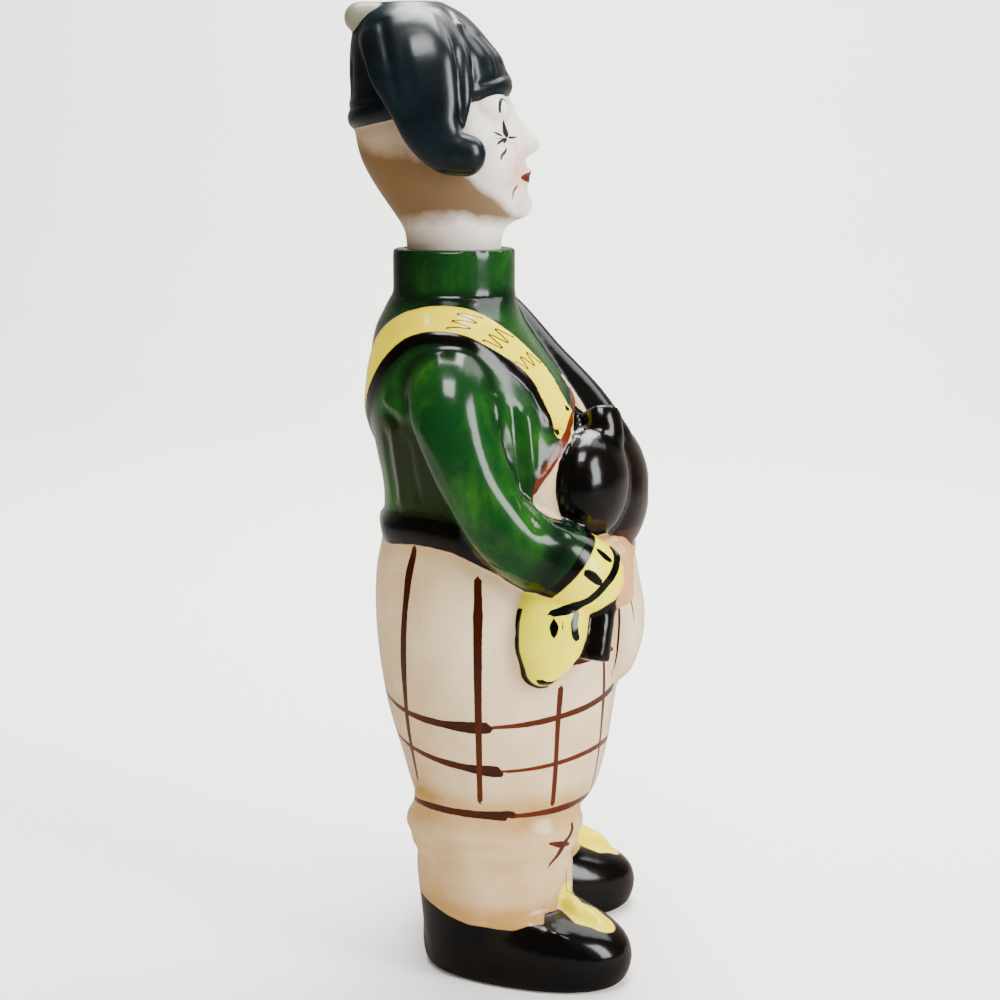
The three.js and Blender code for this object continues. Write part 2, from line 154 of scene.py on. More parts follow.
def loftForm(name, section, places):  # a closed form through rings of one section
    deselectAll()
    bpy.ops.mesh.primitive_circle_add(vertices=len(section), radius=1, fill_type="NGON")
    piece = bpy.context.object
    piece.name = name
    bpy.ops.object.mode_set(mode="EDIT")
    mesh = bmesh.from_edit_mesh(piece.data)
    mesh.verts.ensure_lookup_table()
    for corner, (across, along) in zip(mesh.verts, section):
        corner.co = places[0] @ Vector((across, along, 0))
    for before, after in zip(places, places[1:]):
        bpy.ops.mesh.extrude_region_move()
        mesh = bmesh.from_edit_mesh(piece.data)
        lifted = [v for v in mesh.verts if v.select]
        bmesh.ops.transform(mesh, matrix=after @ before.inverted(), verts=lifted)
    bmesh.ops.transform(mesh, matrix=toRow, verts=mesh.verts)
    bmesh.update_edit_mesh(piece.data)
    bpy.ops.mesh.select_all(action="SELECT")
    bpy.ops.mesh.normals_make_consistent(inside=False)
    bpy.ops.object.mode_set(mode="OBJECT")
    keepShape(piece)
    return piece


def roundSection(sides, square=2.0):  # a squareness over 2 fills out the corners
    turns = [2 * pi * k / sides for k in range(sides)]
    return [(spread(sin(t), 2 / square), spread(cos(t), 2 / square)) for t in turns]


def levelPlace(up, size, side=0.0, tilt=0.0):
    back, front, half = size
    depth = (front - back) / 2
    return Matrix((
        (half, 0, 0, side),
        (0, -depth, 0, -(front + back) / 2),
        (0, tilt * depth, 1, up),
        (0, 0, 0, 1),
    ))


def stackForm(name, rows, heights, inset=0.0, square=2.0, sides=72, side=0.0, turn=None):
    places = []
    for up in heights:
        back, front, half = rowAt(rows, up)
        low, high = rowAt(rows, up - 0.5), rowAt(rows, up + 0.5)
        flare = (high[2] - low[2] + high[1] - high[0] - low[1] + low[0]) / 3
        slant = hypot(1, flare)
        size = (back + inset / slant, front - inset / slant, half - inset / slant)
        place = levelPlace(up + inset * flare / slant, size, side)
        places.append(turn @ place if turn else place)
    return loftForm(name, roundSection(sides, square), places)


def tubeForm(name, stations, broad=(0, 0, 1), sides=24, steps=20, roundSteps=5):
    # Stations are a point, the radius across and the radius along the broad direction.
    points = [s[0] for s in stations]
    sizes = [Vector((s[1], s[2] if len(s) > 2 else s[1], 0)) for s in stations]
    broad = Vector(broad)
    places = []

    def ring(centre, along, across, deep):
        v = (broad - along * broad.dot(along)).normalized()
        u = v.cross(along).normalized()
        place = Matrix((u * across, v * deep, along)).transposed().to_4x4()
        places.append(Matrix.Translation(centre) @ place)

    def heading(t):
        return (routeAt(points, t + 0.01) - routeAt(points, t - 0.01)).normalized()

    def end(t, sense):
        size = routeAt(sizes, t)
        for k in range(1, roundSteps + 1):
            part = k / (roundSteps + 1)
            turn = pi / 2 * (part if sense < 0 else 1 - part)
            centre = routeAt(points, t) + heading(t) * sense * min(size.x, size.y) * cos(turn)
            ring(centre, heading(t), size.x * sin(turn), size.y * sin(turn))

    end(0, -1)
    for t in evenly(0, 1, steps):
        size = routeAt(sizes, t)
        ring(routeAt(points, t), heading(t), size.x, size.y)
    end(1, 1)
    return loftForm(name, roundSection(sides), places)


def ballForm(name, centre, size, turn=0.0, tip=0.0):
    deselectAll()
    bpy.ops.mesh.primitive_uv_sphere_add(segments=36, ring_count=20, radius=1, enter_editmode=True)
    piece = bpy.context.object
    piece.name = name
    mesh = bmesh.from_edit_mesh(piece.data)
    place = Matrix.Translation(centre) @ Matrix.Rotation(radians(turn), 4, "Z")
    place = place @ Matrix.Rotation(radians(tip), 4, "X") @ Matrix.Diagonal((*size, 1))
    bmesh.ops.transform(mesh, matrix=toRow @ place, verts=mesh.verts)
    bmesh.update_edit_mesh(piece.data)
    bpy.ops.object.mode_set(mode="OBJECT")
    keepShape(piece)
    return piece


def pegForm(name, radius, low, high, sides=96):  # a round upright plug on the collar's axis
    rows = [(body["collarForward"] - radius, body["collarForward"] + radius, radius)] * 2
    places = [levelPlace(up, size) for up, size in zip((low, high), rows)]
    return loftForm(name, roundSection(sides), places)


def keepSurface(piece):  # the finished casting, to lay brush lines on
    points = [Vector(p) for p in figureCoords(piece)]
    faces = [tuple(p.vertices) for p in piece.data.polygons]
    shapes[piece.name] = (BVHTree.FromPolygons(points, faces), None, None)


def laidOn(piece, route):
    return [shapes[piece.name][0].find_nearest(Vector(p[:3]))[0] for p in route]


def joinForms(name, forms):
    deselectAll()
    for form in forms:
        form.select_set(True)
    bpy.context.view_layer.objects.active = forms[0]
    bpy.ops.object.join()
    forms[0].name = name
    return forms[0]


def useModifier(piece, kind, **settings):
    deselectAll()
    piece.select_set(True)
    bpy.context.view_layer.objects.active = piece
    modifier = piece.modifiers.new(kind.lower(), kind)
    for setting, value in settings.items():
        setattr(modifier, setting, value)
    bpy.ops.object.modifier_apply(modifier=modifier.name)


def castForms(piece, grain, rounding):  # melts the joined forms into one soft-edged casting
    useModifier(piece, "REMESH", mode="VOXEL", voxel_size=grain / 1000, adaptivity=0, use_smooth_shade=True)
    useModifier(piece, "SMOOTH", factor=0.5, iterations=rounding)


def hollowOut(piece, inside):
    useModifier(piece, "BOOLEAN", operation="DIFFERENCE", object=inside, solver="EXACT")
    bpy.data.objects.remove(inside)


# Trunk: jacket above, kilt below. Rows are height, rearmost, foremost, half breadth.
trunk = {
    "square": 2.15,
    "rows": [
        (58, -28.2, 34.6, 46.4),
        (62, -29.8, 36.8, 47),
        (74, -33.2, 39.8, 48),
        (88, -37.4, 42, 48.8),
        (104, -40.4, 44, 49),
        (122, -42, 44.6, 48),
        (138, -41.6, 44.2, 45.5),
        (150, -39.4, 43.8, 43.5),
        (166, -38.8, 42, 43),
        (180, -41.2, 38, 44),
        (192, -43.4, 32, 44.5),
        (204, -43.6, 23.5, 42.5),
        (214, -42.6, 16, 39),
        (222, -41, 10.4, 34.5),
        (228, -38.2, 7.8, 28),
        (232, -36.2, 7, 22.5),
    ],
}


def trunkForm(inset=0.0):
    low = body["hem"] + inset
    heights = evenly(low, body["collarFoot"], 12 if inset else 70)
    return stackForm(f"{named(inset)}trunk", trunk["rows"], heights, inset, trunk["square"],
                     sides=28 if inset else 112)


def onTrunk(up, bearing, lift=0.0):  # bearing 0 is the front, 90 the figure's left
    back, front, half = rowAt(trunk["rows"], up)
    turn = radians(bearing)
    power = 2 / trunk["square"]
    forward = (back + front) / 2 + ((front - back) / 2 + lift) * spread(cos(turn), power)
    return spot((half + lift) * spread(sin(turn), power), forward, up)


def paintSpot(bearing, up, form="trunk"):  # where a level line from the figure's middle leaves the form
    axis = spot(0, 2, up)
    outward = Vector((sin(radians(bearing)), -cos(radians(bearing)), 0))
    tree = shapes[form][0]
    hit = tree.ray_cast(axis + outward * 90, -outward)[0]
    return hit if hit else axis + outward * 40


# Legs in turned-down socks, and shoes that toe out. Side is -1 for the figure's right.
legs = {
    "side": 24.5,
    "toeOut": 18,
    "ankle": 21,
    "ankleReach": 10,
    "rows": [
        (4, -22, 27, 20),
        (20, -24, 28.6, 22),
        (37, -25.6, 28.9, 22.5),
        (42.2, -25.3, 28.6, 22.2),
        (46, -27.4, 30.6, 23.8),
        (49, -27.6, 30.8, 24),
        (53, -29.4, 32.6, 25.4),
        (56.4, -28, 31.4, 24.4),
        (58.6, -26.6, 30.2, 22.8),
        (64, -26.4, 30, 22.6),
    ],
    "shoeRows": [
        (0, -21.4, 47.4, 18.8),
        (2, -23.2, 49.8, 20.4),
        (8, -24.2, 51.6, 21.2),
        (14, -24.2, 50.4, 21),
        (18, -24, 46.6, 20.4),
        (21, -23.8, 41, 19.8),
        (24.5, -23.4, 30.6, 20.8),
    ],
    "shoeSquare": 2.2,
    "ankleFront": 22,
    "tongue": [(38.5, 18, 6.4, 3.2), (33.5, 21.8, 7.8, 3.4), (29.6, 26, 6.4, 3)],
    "tonguePaint": [(33.2, 29.6, 27.4, 6.6), (35.2, 34.4, 23.4, 8.6), (36.8, 38.4, 20.6, 6)],
}


def legForm(side, inset=0.0):
    heights = [body["wall"] + 1, 20, 40, 64] if inset else evenly(4, 64, 48)
    return stackForm(f"{named(inset)}leg{side}", legs["rows"], heights, inset, sides=20 if inset else 60,
                     side=side * legs["side"])


def shoeForm(side, inset=0.0):
    heights = [body["wall"] + 0.5, 10, 16] if inset else [0, 0.6, *evenly(1.4, 24.5, 18)]
    turn = Matrix.Translation((side * legs["side"], 0, 0))
    turn = turn @ Matrix.Rotation(radians(side * legs["toeOut"]), 4, "Z")
    return stackForm(f"{named(inset)}shoe{side}", legs["shoeRows"], heights, inset, legs["shoeSquare"],
                     sides=24 if inset else 72, turn=turn)


def tongueForm(side):
    toe = radians(legs["toeOut"])
    stations = []
    for forward, up, across, deep in legs["tongue"]:
        place = spot(side * (legs["side"] + forward * sin(toe)), forward * cos(toe), up)
        stations.append((place, across, deep))
    return tubeForm(f"tongue{side}", stations, (0, 1, 0.6))


# Arms that bend across the belly, each with a turned cuff and a fist.
arms = {
    "sleeve": [
        (27.5, -13, 211, 9, 13),
        (35, -12.6, 206.5, 10.8, 14),
        (41.6, -11.4, 198, 12, 14),
        (45.5, -8, 186, 11.8, 12.2),
        (46, -1.6, 171, 11.4, 11.4),
        (45.8, 7, 158.5, 11.6, 11.8),
        (43.5, 15.5, 151.5, 11.8, 12.2),
        (41, 23.5, 148, 12.2, 12.8),
    ],
    "cuff": [(41.6, 23, 148.4, 12.6, 13.2), (40, 28.5, 145, 13, 13.6), (38.5, 33, 142, 12.6, 13.2)],
    "tail": [(-44, 23, 134, 6, 11.2), (-47.5, 22.4, 126, 6.4, 11), (-48, 20.8, 117.5, 6, 9.6),
             (-47, 19, 111.5, 4.6, 6)],
    "shoulder": 207,
    "shoulderReach": 13,
    "shoulderFrom": 20,
    "palm": (33, 37, 142),
    "palmSize": (7.4, 8, 9.4),
    "knuckles": [(39.5, 36), (37.5, 43), (32, 46.2), (26, 45.4), (24, 41)],
    "fingers": 4,
    "fingerFoot": 134.2,
    "fingerPitch": 4.7,
    "fingerRise": 0.06,
    "fingerRadius": 2.9,
    "thumb": [(37, 35, 150, 3.4), (33.5, 41, 152, 3.2), (29, 44.5, 151.6, 2.8)],
}


def sleeveForm(side, inset=0.0):
    detail = {"sides": 12, "steps": 6, "roundSteps": 2} if inset else {"sides": 40, "steps": 40}
    stations = stationsOf(arms["sleeve"], side, inset)
    return tubeForm(f"{named(inset)}sleeve{side}", stations, (0, 1, 0), **detail)


def handForms(side):
    out, forward, up = arms["palm"]
    made = [ballForm(f"hand{side}", spot(side * out, forward, up), arms["palmSize"])]
    for k in range(arms["fingers"]):
        stations = []
        for out, forward in arms["knuckles"]:
            up = arms["fingerFoot"] + k * arms["fingerPitch"] + arms["fingerRise"] * (37 - out)
            stations.append((spot(side * out, forward, up), arms["fingerRadius"]))
        made.append(tubeForm(f"hand{side}finger{k}", stations, sides=16, steps=12))
    made.append(tubeForm(f"hand{side}thumb", stationsOf(arms["thumb"], side), sides=16, steps=8))
    return made


# Bagpipe: the bag, its tied neck, the chanter below the right fist and the drone over the left shoulder.
pipes = {
    "rightLobe": ((-20, 33.6, 170.5), (21, 13.2, 19.6)),
    "middleLobe": ((6, 36.3, 164), (27, 17.4, 25.5)),
    "seam": [(-31, 32, 185, 1.4), (-27, 37, 187, 1.7), (-18, 41.4, 187.4, 2), (-6, 43, 184, 2)],
    "neck": [(-16, 37, 180, 8.6, 8.4), (-18.6, 38, 185.6, 7.6, 7), (-18, 37.6, 189.6, 7.8, 7),
             (-15.4, 36.6, 193.4, 8.4, 7.2)],
    "chanter": [(-34, 39.5, 145, 5), (-40, 38, 130, 5), (-44.5, 36.5, 115, 5)],
    "drone": [(2, 38, 181, 10), (7, 30.6, 192.6, 9), (12.6, 16, 208.8, 7.8), (19, 2, 224.8, 6.8),
              (24, -11, 235.4, 6),
              (26.5, -25, 239, 6)],
    "droneCap": (0.9, 7.6),
}


def pipeForms():
    lobes = [ballForm("bagRight", spot(*pipes["rightLobe"][0]), pipes["rightLobe"][1], turn=-12),
             ballForm("bagMiddle", spot(*pipes["middleLobe"][0]), pipes["middleLobe"][1])]
    seam = tubeForm("bagSeam", stationsOf(pipes["seam"]), sides=16)
    neck = tubeForm("bagNeck", stationsOf(pipes["neck"]), (0, 1, 0), roundSteps=0)
    chanter = tubeForm("chanter", stationsOf(pipes["chanter"]), (1, 0, 0), roundSteps=0)
    drone = tubeForm("drone", stationsOf(pipes["drone"]), (1, 0, 0), steps=30)
    where, size = pipes["droneCap"]
    cap = ballForm("droneCap", routeAt([spot(*p[:3]) for p in pipes["drone"]], where), (size,) * 3)
    return [*lobes, seam, neck, chanter, drone, cap]


# Sporran of long hair before the kilt.
sporran = {
    "rows": [
        (97, 32, 43, 6),
        (99.5, 32, 46.8, 12),
        (105, 32, 49.8, 17.5),
        (114, 32, 52.2, 21),
        (124, 32, 52.4, 21.4),
        (134, 32, 50.6, 19),
        (144, 32, 48.6, 15),
        (152, 32, 46, 12),
    ],
}

# The jacket's rolled hem and its front edge, as bearing about the trunk's middle and height.
jacket = {
    "hem": [(180, 153.5), (150, 154), (125, 156), (105, 154.5), (88, 148.5), (72, 142)],
    "hemSize": (2.6, 4.6),
    "frontEdge": [(71, 150), (71.6, 160), (71.4, 170.3), (69, 174), (64, 178.8), (58, 183.6),
                  (51.4, 188.2),
                  (45, 192.8), (29, 197), (16.3, 200.8), (5, 204.2), (0, 205.4)],
    "edgeRadius": 1.3,
    "edgeSink": 0.35,
    "edgeSpan": (10, 70),
}


def hemForm(side):
    stations = [(onTrunk(up, side * bearing, -0.4), *jacket["hemSize"]) for bearing, up in jacket["hem"]]
    return tubeForm(f"hem{side}", stations, sides=20, steps=40)


def frontEdgeForm(side):
    low, high = jacket["edgeSpan"]
    marks = [m for m in jacket["frontEdge"] if low < m[0] < high]
    sink = Vector((side * jacket["edgeSink"], 0, 0))
    stations = [(paintSpot(side * bearing, up) - sink, jacket["edgeRadius"]) for bearing, up in marks]
    return tubeForm(f"edgeRoll{side}", stations, sides=12, steps=24)


# Shoulder belt: height and bearing along its middle, from the chest over the right shoulder to the left hip.
belt = {
    "width": 12,
    "lift": 1.1,
    "line": [
        (191, -37), (197.5, -34.6), (205, -33), (212, -37), (219, -49), (224, -66), (226, -87),
        (225.5, -106),
        (222.5, -124), (216, -142), (207.5, -157), (199, -171), (189, -186), (178, -202), (168, -218),
        (159, -234),
    ],
    "section": [(-1, -1.6), (1, -1.6), (1, 0.5), (0.9, 0.85), (0.7, 1), (-0.7, 1), (-0.9, 0.85),
                (-1, 0.5)],
    "steps": 120,
    "bandOffset": 7.9,
    "bandSize": (1.5, 2.3),
    "bandFront": 0.12,
    "bandFrontSize": 0.72,
    "paintHalf": 6.6,
    "away": 60,  # stands for the place across the belt of a vertex that isn't near it
    "squiggles": ((38.0, 3.0), (50.5, 3.3), (25.5, 2.4)),  # place along the belt and swing
    "squiggleRate": 1.8,
}


def beltFrame(t):
    marks = [Vector((up, bearing, 0)) for up, bearing in belt["line"]]

    def placed(part, lift=0.0):
        up, bearing, _ = routeAt(marks, part)
        return onTrunk(up, bearing, lift)

    middle = placed(t)
    along = (placed(t + 0.01) - placed(t - 0.01)).normalized()
    up = routeAt(marks, t).x
    slope = (rowAt(trunk["rows"], up - 1)[2] - rowAt(trunk["rows"], up + 1)[2]) / 2
    outward = ((placed(t, 1) - middle).normalized() + Vector((0, 0, slope))).normalized()
    across = outward.cross(along).normalized()
    return middle, along, across, outward


def beltForm():
    places = []
    for t in evenly(0, 1, belt["steps"]):
        middle, along, across, outward = beltFrame(t)
        frameOf = Matrix((across * belt["width"] / 2, outward * belt["lift"], along)).transposed().to_4x4()
        places.append(Matrix.Translation(middle) @ frameOf)
    return loftForm("belt", belt["section"], places)


def bandForm():  # the dark roll along the belt's lower edge
    stations = []
    for t in evenly(0.02, 0.98, 30):
        middle, along, across, outward = beltFrame(t)
        lower = across if across.z < 0 else -across
        place, normal, _, _ = shapes["trunk"][0].find_nearest(middle + lower * belt["bandOffset"])
        thin = belt["bandFrontSize"] if t < belt["bandFront"] else 1.0
        stations.append((place - normal * 0.3, belt["bandSize"][0] * thin, belt["bandSize"][1] * thin))
    return tubeForm("band", stations, sides=14, steps=120)


# Soft folds pressed into the clay: height, half width and points. Sleeves and shoes have them on both sides.
sleeveFolds = [
    (1.3, 2.4, [(-41, 3, 204), (-44, 4.6, 196), (-46, 5, 186), (-46.6, 7.4, 177), (-47.4, 11, 168)]),
    (-0.9, 1.7, [(-40.6, 9.4, 201), (-42, 10.2, 190), (-42.8, 11.6, 178), (-44.4, 13.6, 170)]),
    (0.9, 1.8, [(-38, 14.4, 199), (-40, 14.4, 188), (-41.2, 15.4, 177), (-42.6, 17, 169)]),
    (1.2, 1.7, [(-44.6, 13.6, 171), (-46.6, 19.4, 164), (-47.8, 24.4, 159.6), (-47, 29, 156.6)]),
    (-0.8, 1.5, [(-42.6, 17.6, 169), (-44.6, 21.6, 163.6), (-45.6, 26, 159.6)]),
    (-0.8, 1.6, [(-47.6, 8, 171), (-51, 14, 164), (-53, 20, 159)]),
    (0.8, 2, [(-51, -20, 194), (-55, -13.4, 184), (-56.6, -8.4, 174), (-56.4, -2.4, 162)]),
    (1.4, 2, [(-29.7, -35, 200.7), (-33.3, -31.9, 198.5), (-36.7, -28.1, 197), (-40, -24.4, 193)]),
    (-1, 1.8, [(-29, -35, 196.8), (-33, -31.9, 194.6), (-36.4, -28.6, 192)]),
    (0.9, 2, [(-34, -31.4, 192), (-32, -31, 178), (-30.4, -30.4, 162)]),
    (-0.7, 1.8, [(-37, -26, 188), (-36.4, -25.4, 176), (-37, -24.4, 165)]),
    (-0.8, 1.6, [(-28.6, -34, 190), (-26, -34.4, 176), (-25.4, -34, 162)]),
]
shoeBows = [
    (0.8, 1.5, [(-47.9, 20.6, 22), (-48.8, 25.4, 20.6), (-49.6, 28.4, 19)]),
    (0.7, 1.3, [(-48.6, 23.4, 18.4), (-48.4, 24.4, 21.4)]),
]
bonnetFolds = [
    (-0.55, 1.5, [(-8, -16, 327.7), (-15.5, -11.2, 321.1), (-19.3, -6.6, 309.4), (-20.4, -5.6, 301)]),
    (0.5, 1.6, [(-13, -7.6, 319.8), (-12.4, -4.4, 316.5), (-12.6, -0.4, 310), (-13.6, 0.6, 304)]),
    (-0.5, 1, [(-8, -6, 319.4), (-6, -2.4, 314), (-6, 0.6, 308)]),
    (-0.7, 1.2, [(-21, -3.4, 303), (-16, 0.6, 304.4), (-8, 3.6, 306), (0, 4.6, 306.6)]),
    (-0.5, 1.8, [(-16, -36, 323), (-23, -34, 316), (-27.6, -31, 305), (-30, -28.4, 294)]),
    (0.35, 2.6, [(-22, -26, 318), (-29, -23, 306), (-32, -20, 294)]),
    (-0.5, 1.4, [(-12, -48, 312), (-10, -49, 304), (-9, -49.6, 298)]),
    (-0.6, 1.2, [(-22, -38, 297), (-12, -46.6, 295.4), (0, -49.4, 294.6), (14, -45.6, 295.6),
                 (24, -34, 298)]),
]


def pressFolds(piece, folds, mirrored=False):
    keepSurface(piece)
    coords, normals = figureCoords(piece), vertexNormals(piece)
    moves = np.zeros(len(coords))
    for height, half, points in folds:
        for flip in ((1, -1) if mirrored else (1,)):
            route = curvedPath(flipped([(*point, half) for point in points], flip))
            route[:, :3] = laidOn(piece, route)
            chosen, near = nearRoute(coords, normals, route, half * 3.2)
            fade = np.minimum(near["toEnd"] / (half * 3), 1)
            moves[chosen] += height * np.exp(-(near["distance"] / half) ** 2) * fade * (2 - fade)
    writeCoords(piece, readCoords(piece) + normals * moves[:, None] / 1000)


def meltSeams(piece):  # the sleeve heads run into the trunk, and the legs into the shoes, without an edge
    shoulder, ankle = (piece.vertex_groups.new(name=name) for name in ("shoulder", "ankle"))
    for i, (side, depth, up) in enumerate(figureCoords(piece)):
        weight = 1 - abs(up - arms["shoulder"]) / arms["shoulderReach"]
        outward = abs(side) - arms["shoulderFrom"]
        if weight > 0 and outward > 0:
            shoulder.add([i], min(weight * 1.6, 1) * min(outward / 8, 1), "REPLACE")
        weight = 1 - abs(up - legs["ankle"]) / legs["ankleReach"]
        if weight > 0 and depth > -legs["ankleFront"]:
            ankle.add([i], min(weight * 2, 1), "REPLACE")
    useModifier(piece, "SMOOTH", factor=0.6, iterations=45, vertex_group="shoulder")
    useModifier(piece, "SMOOTH", factor=0.6, iterations=18, vertex_group="ankle")


def buildBottle():
    both = (-1, 1)
    forms = [trunkForm()]
    forms.append(pegForm("collar", body["collarRadius"], body["collarFoot"] - 5, body["collarTop"]))
    for side in both:
        forms += [legForm(side), shoeForm(side), tongueForm(side), sleeveForm(side)]
        forms.append(tubeForm(f"cuff{side}", stationsOf(arms["cuff"], side), (0, 1, 0), 40, 14, 2))
        forms += handForms(side)
        forms += [hemForm(side), frontEdgeForm(side)]
    forms.append(tubeForm("tail", stationsOf(arms["tail"]), (0, 1, 0), 32))
    forms += pipeForms()
    forms.append(stackForm("sporran", sporran["rows"], evenly(97, 152, 40), sides=56))
    forms += [beltForm(), bandForm()]
    piece = joinForms("piperBottle", forms)
    castForms(piece, body["bottleGrain"], body["bottleRounding"])
    meltSeams(piece)
    pressFolds(piece, sleeveFolds + shoeBows, True)
    keepSurface(piece)
    inner = [trunkForm(body["wall"])]
    for side in both:
        inner += [legForm(side, body["wall"]), shoeForm(side, body["wall"]), sleeveForm(side, body["wall"])]
    bore = body["collarRadius"] - body["wall"]
    inner.append(pegForm("neckBore", bore, body["collarFoot"] - 5, ledgeTop - body["ledgeThickness"], 48))
    inside = joinForms("hollow", inner)
    useModifier(inside, "REMESH", mode="VOXEL", voxel_size=body["hollowGrain"] / 1000, adaptivity=0)
    hollowOut(piece, inside)
    hollowOut(piece, pegForm("mouth", body["mouthRadius"], body["collarFoot"], body["collarTop"] + 2))
    hollowOut(piece, pegForm("seat", bore, ledgeTop, body["collarTop"] + 2))
    return piece


# Head: rows of the face and the back of the head over the neck.
neckRadius = body["collarRadius"] - body["wall"] - body["neckGap"]
head = {
    "rows": [
        (250, body["collarForward"] - neckRadius, body["collarForward"] + neckRadius, neckRadius),
        (254.5, -31.2, 3, 16.3),
        (258.5, -33.6, 7.4, 17.2),
        (264, -37.4, 11, 19),
        (271, -42, 10.6, 21.4),
        (278, -45.6, 10.2, 22.8),
        (285, -47.4, 9.4, 23.4),
        (292, -48, 6.8, 23.4),
        (299, -47.6, 4, 22.8),
        (307, -45.5, 1, 21.4),
        (315, -41, -6, 17),
        (320, -34, -14, 10),
    ],
    "nose": [
        (277.6, 0, 9, 2.2),
        (279.4, 0, 11.6, 3.2),
        (280.8, 0, 14, 3.8),
        (282.6, 0, 15.4, 4.1),
        (284.4, 0, 15, 4.1),
        (286.4, 0, 13.4, 3.7),
        (288.8, 0, 11.2, 3.2),
        (291.6, 0, 8.8, 2.8),
        (295, 0, 6.4, 2.4),
        (298.6, 0, 4.8, 2),
    ],
    "ear": [(23.4, -19, 290, 2.2, 3.2), (24.4, -19.6, 284.5, 2.2, 3.4), (23.2, -17.6, 279, 2, 2.4)],
    "paired": {  # centre and size, on both sides of the face
        "noseWing": ((3, 10.6, 282.4), (2.2, 2.8, 2.2)),
        "browBone": ((9.6, -3, 295), (9, 8.8, 5.6)),
        "cheek": ((11, -3, 276.5), (9.6, 11.2, 11)),
    },
    "middle": {
        "lipUpper": ((0, 8.6, 274), (6.2, 3.9, 1.7)),
        "lipLower": ((0, 8.4, 271.2), (5.2, 3.6, 1.6)),
        "chin": ((0, 6.6, 263), (7.6, 6, 5.2)),
    },
}


def skullForm(inset=0.0):
    heights = evenly(256, 312, 8) if inset else evenly(250, 320, 44)
    return stackForm(f"{named(inset)}skull", head["rows"], heights, inset, 2.1, 24 if inset else 88)


def faceForms():
    nose = head["nose"]
    made = [stackForm("nose", nose, evenly(nose[0][0], nose[-1][0], 26), square=1.9, sides=36)]
    for side in (-1, 1):
        for name, ((out, forward, up), size) in head["paired"].items():
            made.append(ballForm(f"{name}{side}", spot(side * out, forward, up), size))
    for name, (centre, size) in head["middle"].items():
        made.append(ballForm(name, spot(*centre), size))
    made.append(tubeForm("ear", stationsOf(head["ear"]), (0, 1, 0)))
    return made


# Bonnet: a close crown over a rolled brim that is higher in front, and its tail over the right ear.
# The crown's rows start from the brim's height.
bonnet = {
    "brim": 296,
    "tilt": 0.19,
    "depth": 38,
    "rows": [
        (-2.8, -46.5, 2, 22.2),
        (-2.2, -48.6, 4, 24.4),
        (-0.6, -49.9, 5.4, 25.8),
        (2, -50.2, 5.8, 26.2),
        (4.6, -49.8, 5.2, 25.8),
        (7.4, -49.1, 3.8, 25.2),
        (13, -49.3, 2, 25.3),
        (19, -49.2, -2, 24.2),
        (25, -48.4, -6.4, 21.4),
        (30, -46.6, -11.4, 17),
        (34, -42, -18, 10.5),
    ],
    "tail": [
        (-4, -33, 324, 5.4, 11.5),
        (-15, -30.5, 320, 5.6, 14),
        (-23.5, -26, 309.5, 5.2, 14.4),
        (-27, -21.5, 297, 5, 12),
        (-28, -18.5, 287.5, 5.2, 9.6),
        (-28, -13, 281, 6, 7.8),
        (-27, -7, 279.5, 6.2, 7),
    ],
    "fold": [
        (-13, -12.5, 321, 2.6, 3.4),
        (-21, -10, 309, 2.8, 3.6),
        (-25, -9, 298, 2.6, 3.4),
        (-25.4, -9.6, 289, 1.6, 2),
    ],
    "bobble": [(-7, -45, 324.8, 5.6, 5.2), (-7, -39, 325.4, 5.4, 4.6)],
}


def bonnetForms():
    places = []
    for up in evenly(bonnet["rows"][0][0], bonnet["rows"][-1][0], 48):
        tilt = bonnet["tilt"] * (1 - up / bonnet["depth"])
        places.append(levelPlace(bonnet["brim"] + up, rowAt(bonnet["rows"], up), 0, tilt))
    crown = loftForm("crown", roundSection(80, 2.1), places)
    tail = tubeForm("bonnetTail", stationsOf(bonnet["tail"]), (0, -1, 0.25), 36, 40)
    fold = tubeForm("bonnetFold", stationsOf(bonnet["fold"]), (0, 1, 0), 16, 30)
    bobble = tubeForm("bobble", stationsOf(bonnet["bobble"]), sides=28)
    return [crown, tail, fold, bobble]


def buildHead():
    foot = ledgeTop - body["spigotLength"]
    plugRadius = body["mouthRadius"] - body["spigotGap"]
    seat = ledgeTop + body["seatGap"]
    forms = [skullForm(), pegForm("neck", neckRadius, seat, 251), pegForm("plug", plugRadius, foot, seat + 1)]
    forms += faceForms() + bonnetForms()
    piece = joinForms("piperHead", forms)
    castForms(piece, body["headGrain"], body["headRounding"])
    pressFolds(piece, bonnetFolds)
    keepSurface(piece)
    hollowOut(piece, skullForm(body["headWall"]))
    hollowOut(piece, pegForm("plugBore", plugRadius - body["headWall"], foot - 2, 262, 64))
    return piece


def keepInside(piece, node):  # trims what the smoothing left past the solid's own corners
    low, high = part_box(node)
    coords = readCoords(piece)
    writeCoords(piece, np.clip(coords, np.array(low), np.array(high)))


def readCoords(piece):
    coords = np.zeros(len(piece.data.vertices) * 3)
    piece.data.vertices.foreach_get("co", coords)
    return coords.reshape(-1, 3)


def writeCoords(piece, coords):
    piece.data.vertices.foreach_set("co", coords.ravel())
    piece.data.update()


def storeField(piece, name, values):
    layer = piece.data.attributes.new(name, "FLOAT", "POINT")
    layer.data.foreach_set("value", np.asarray(values, np.float32))


def storeVectors(piece, name, values):
    layer = piece.data.attributes.new(name, "FLOAT_VECTOR", "POINT")
    layer.data.foreach_set("vector", np.asarray(values, np.float32).ravel())


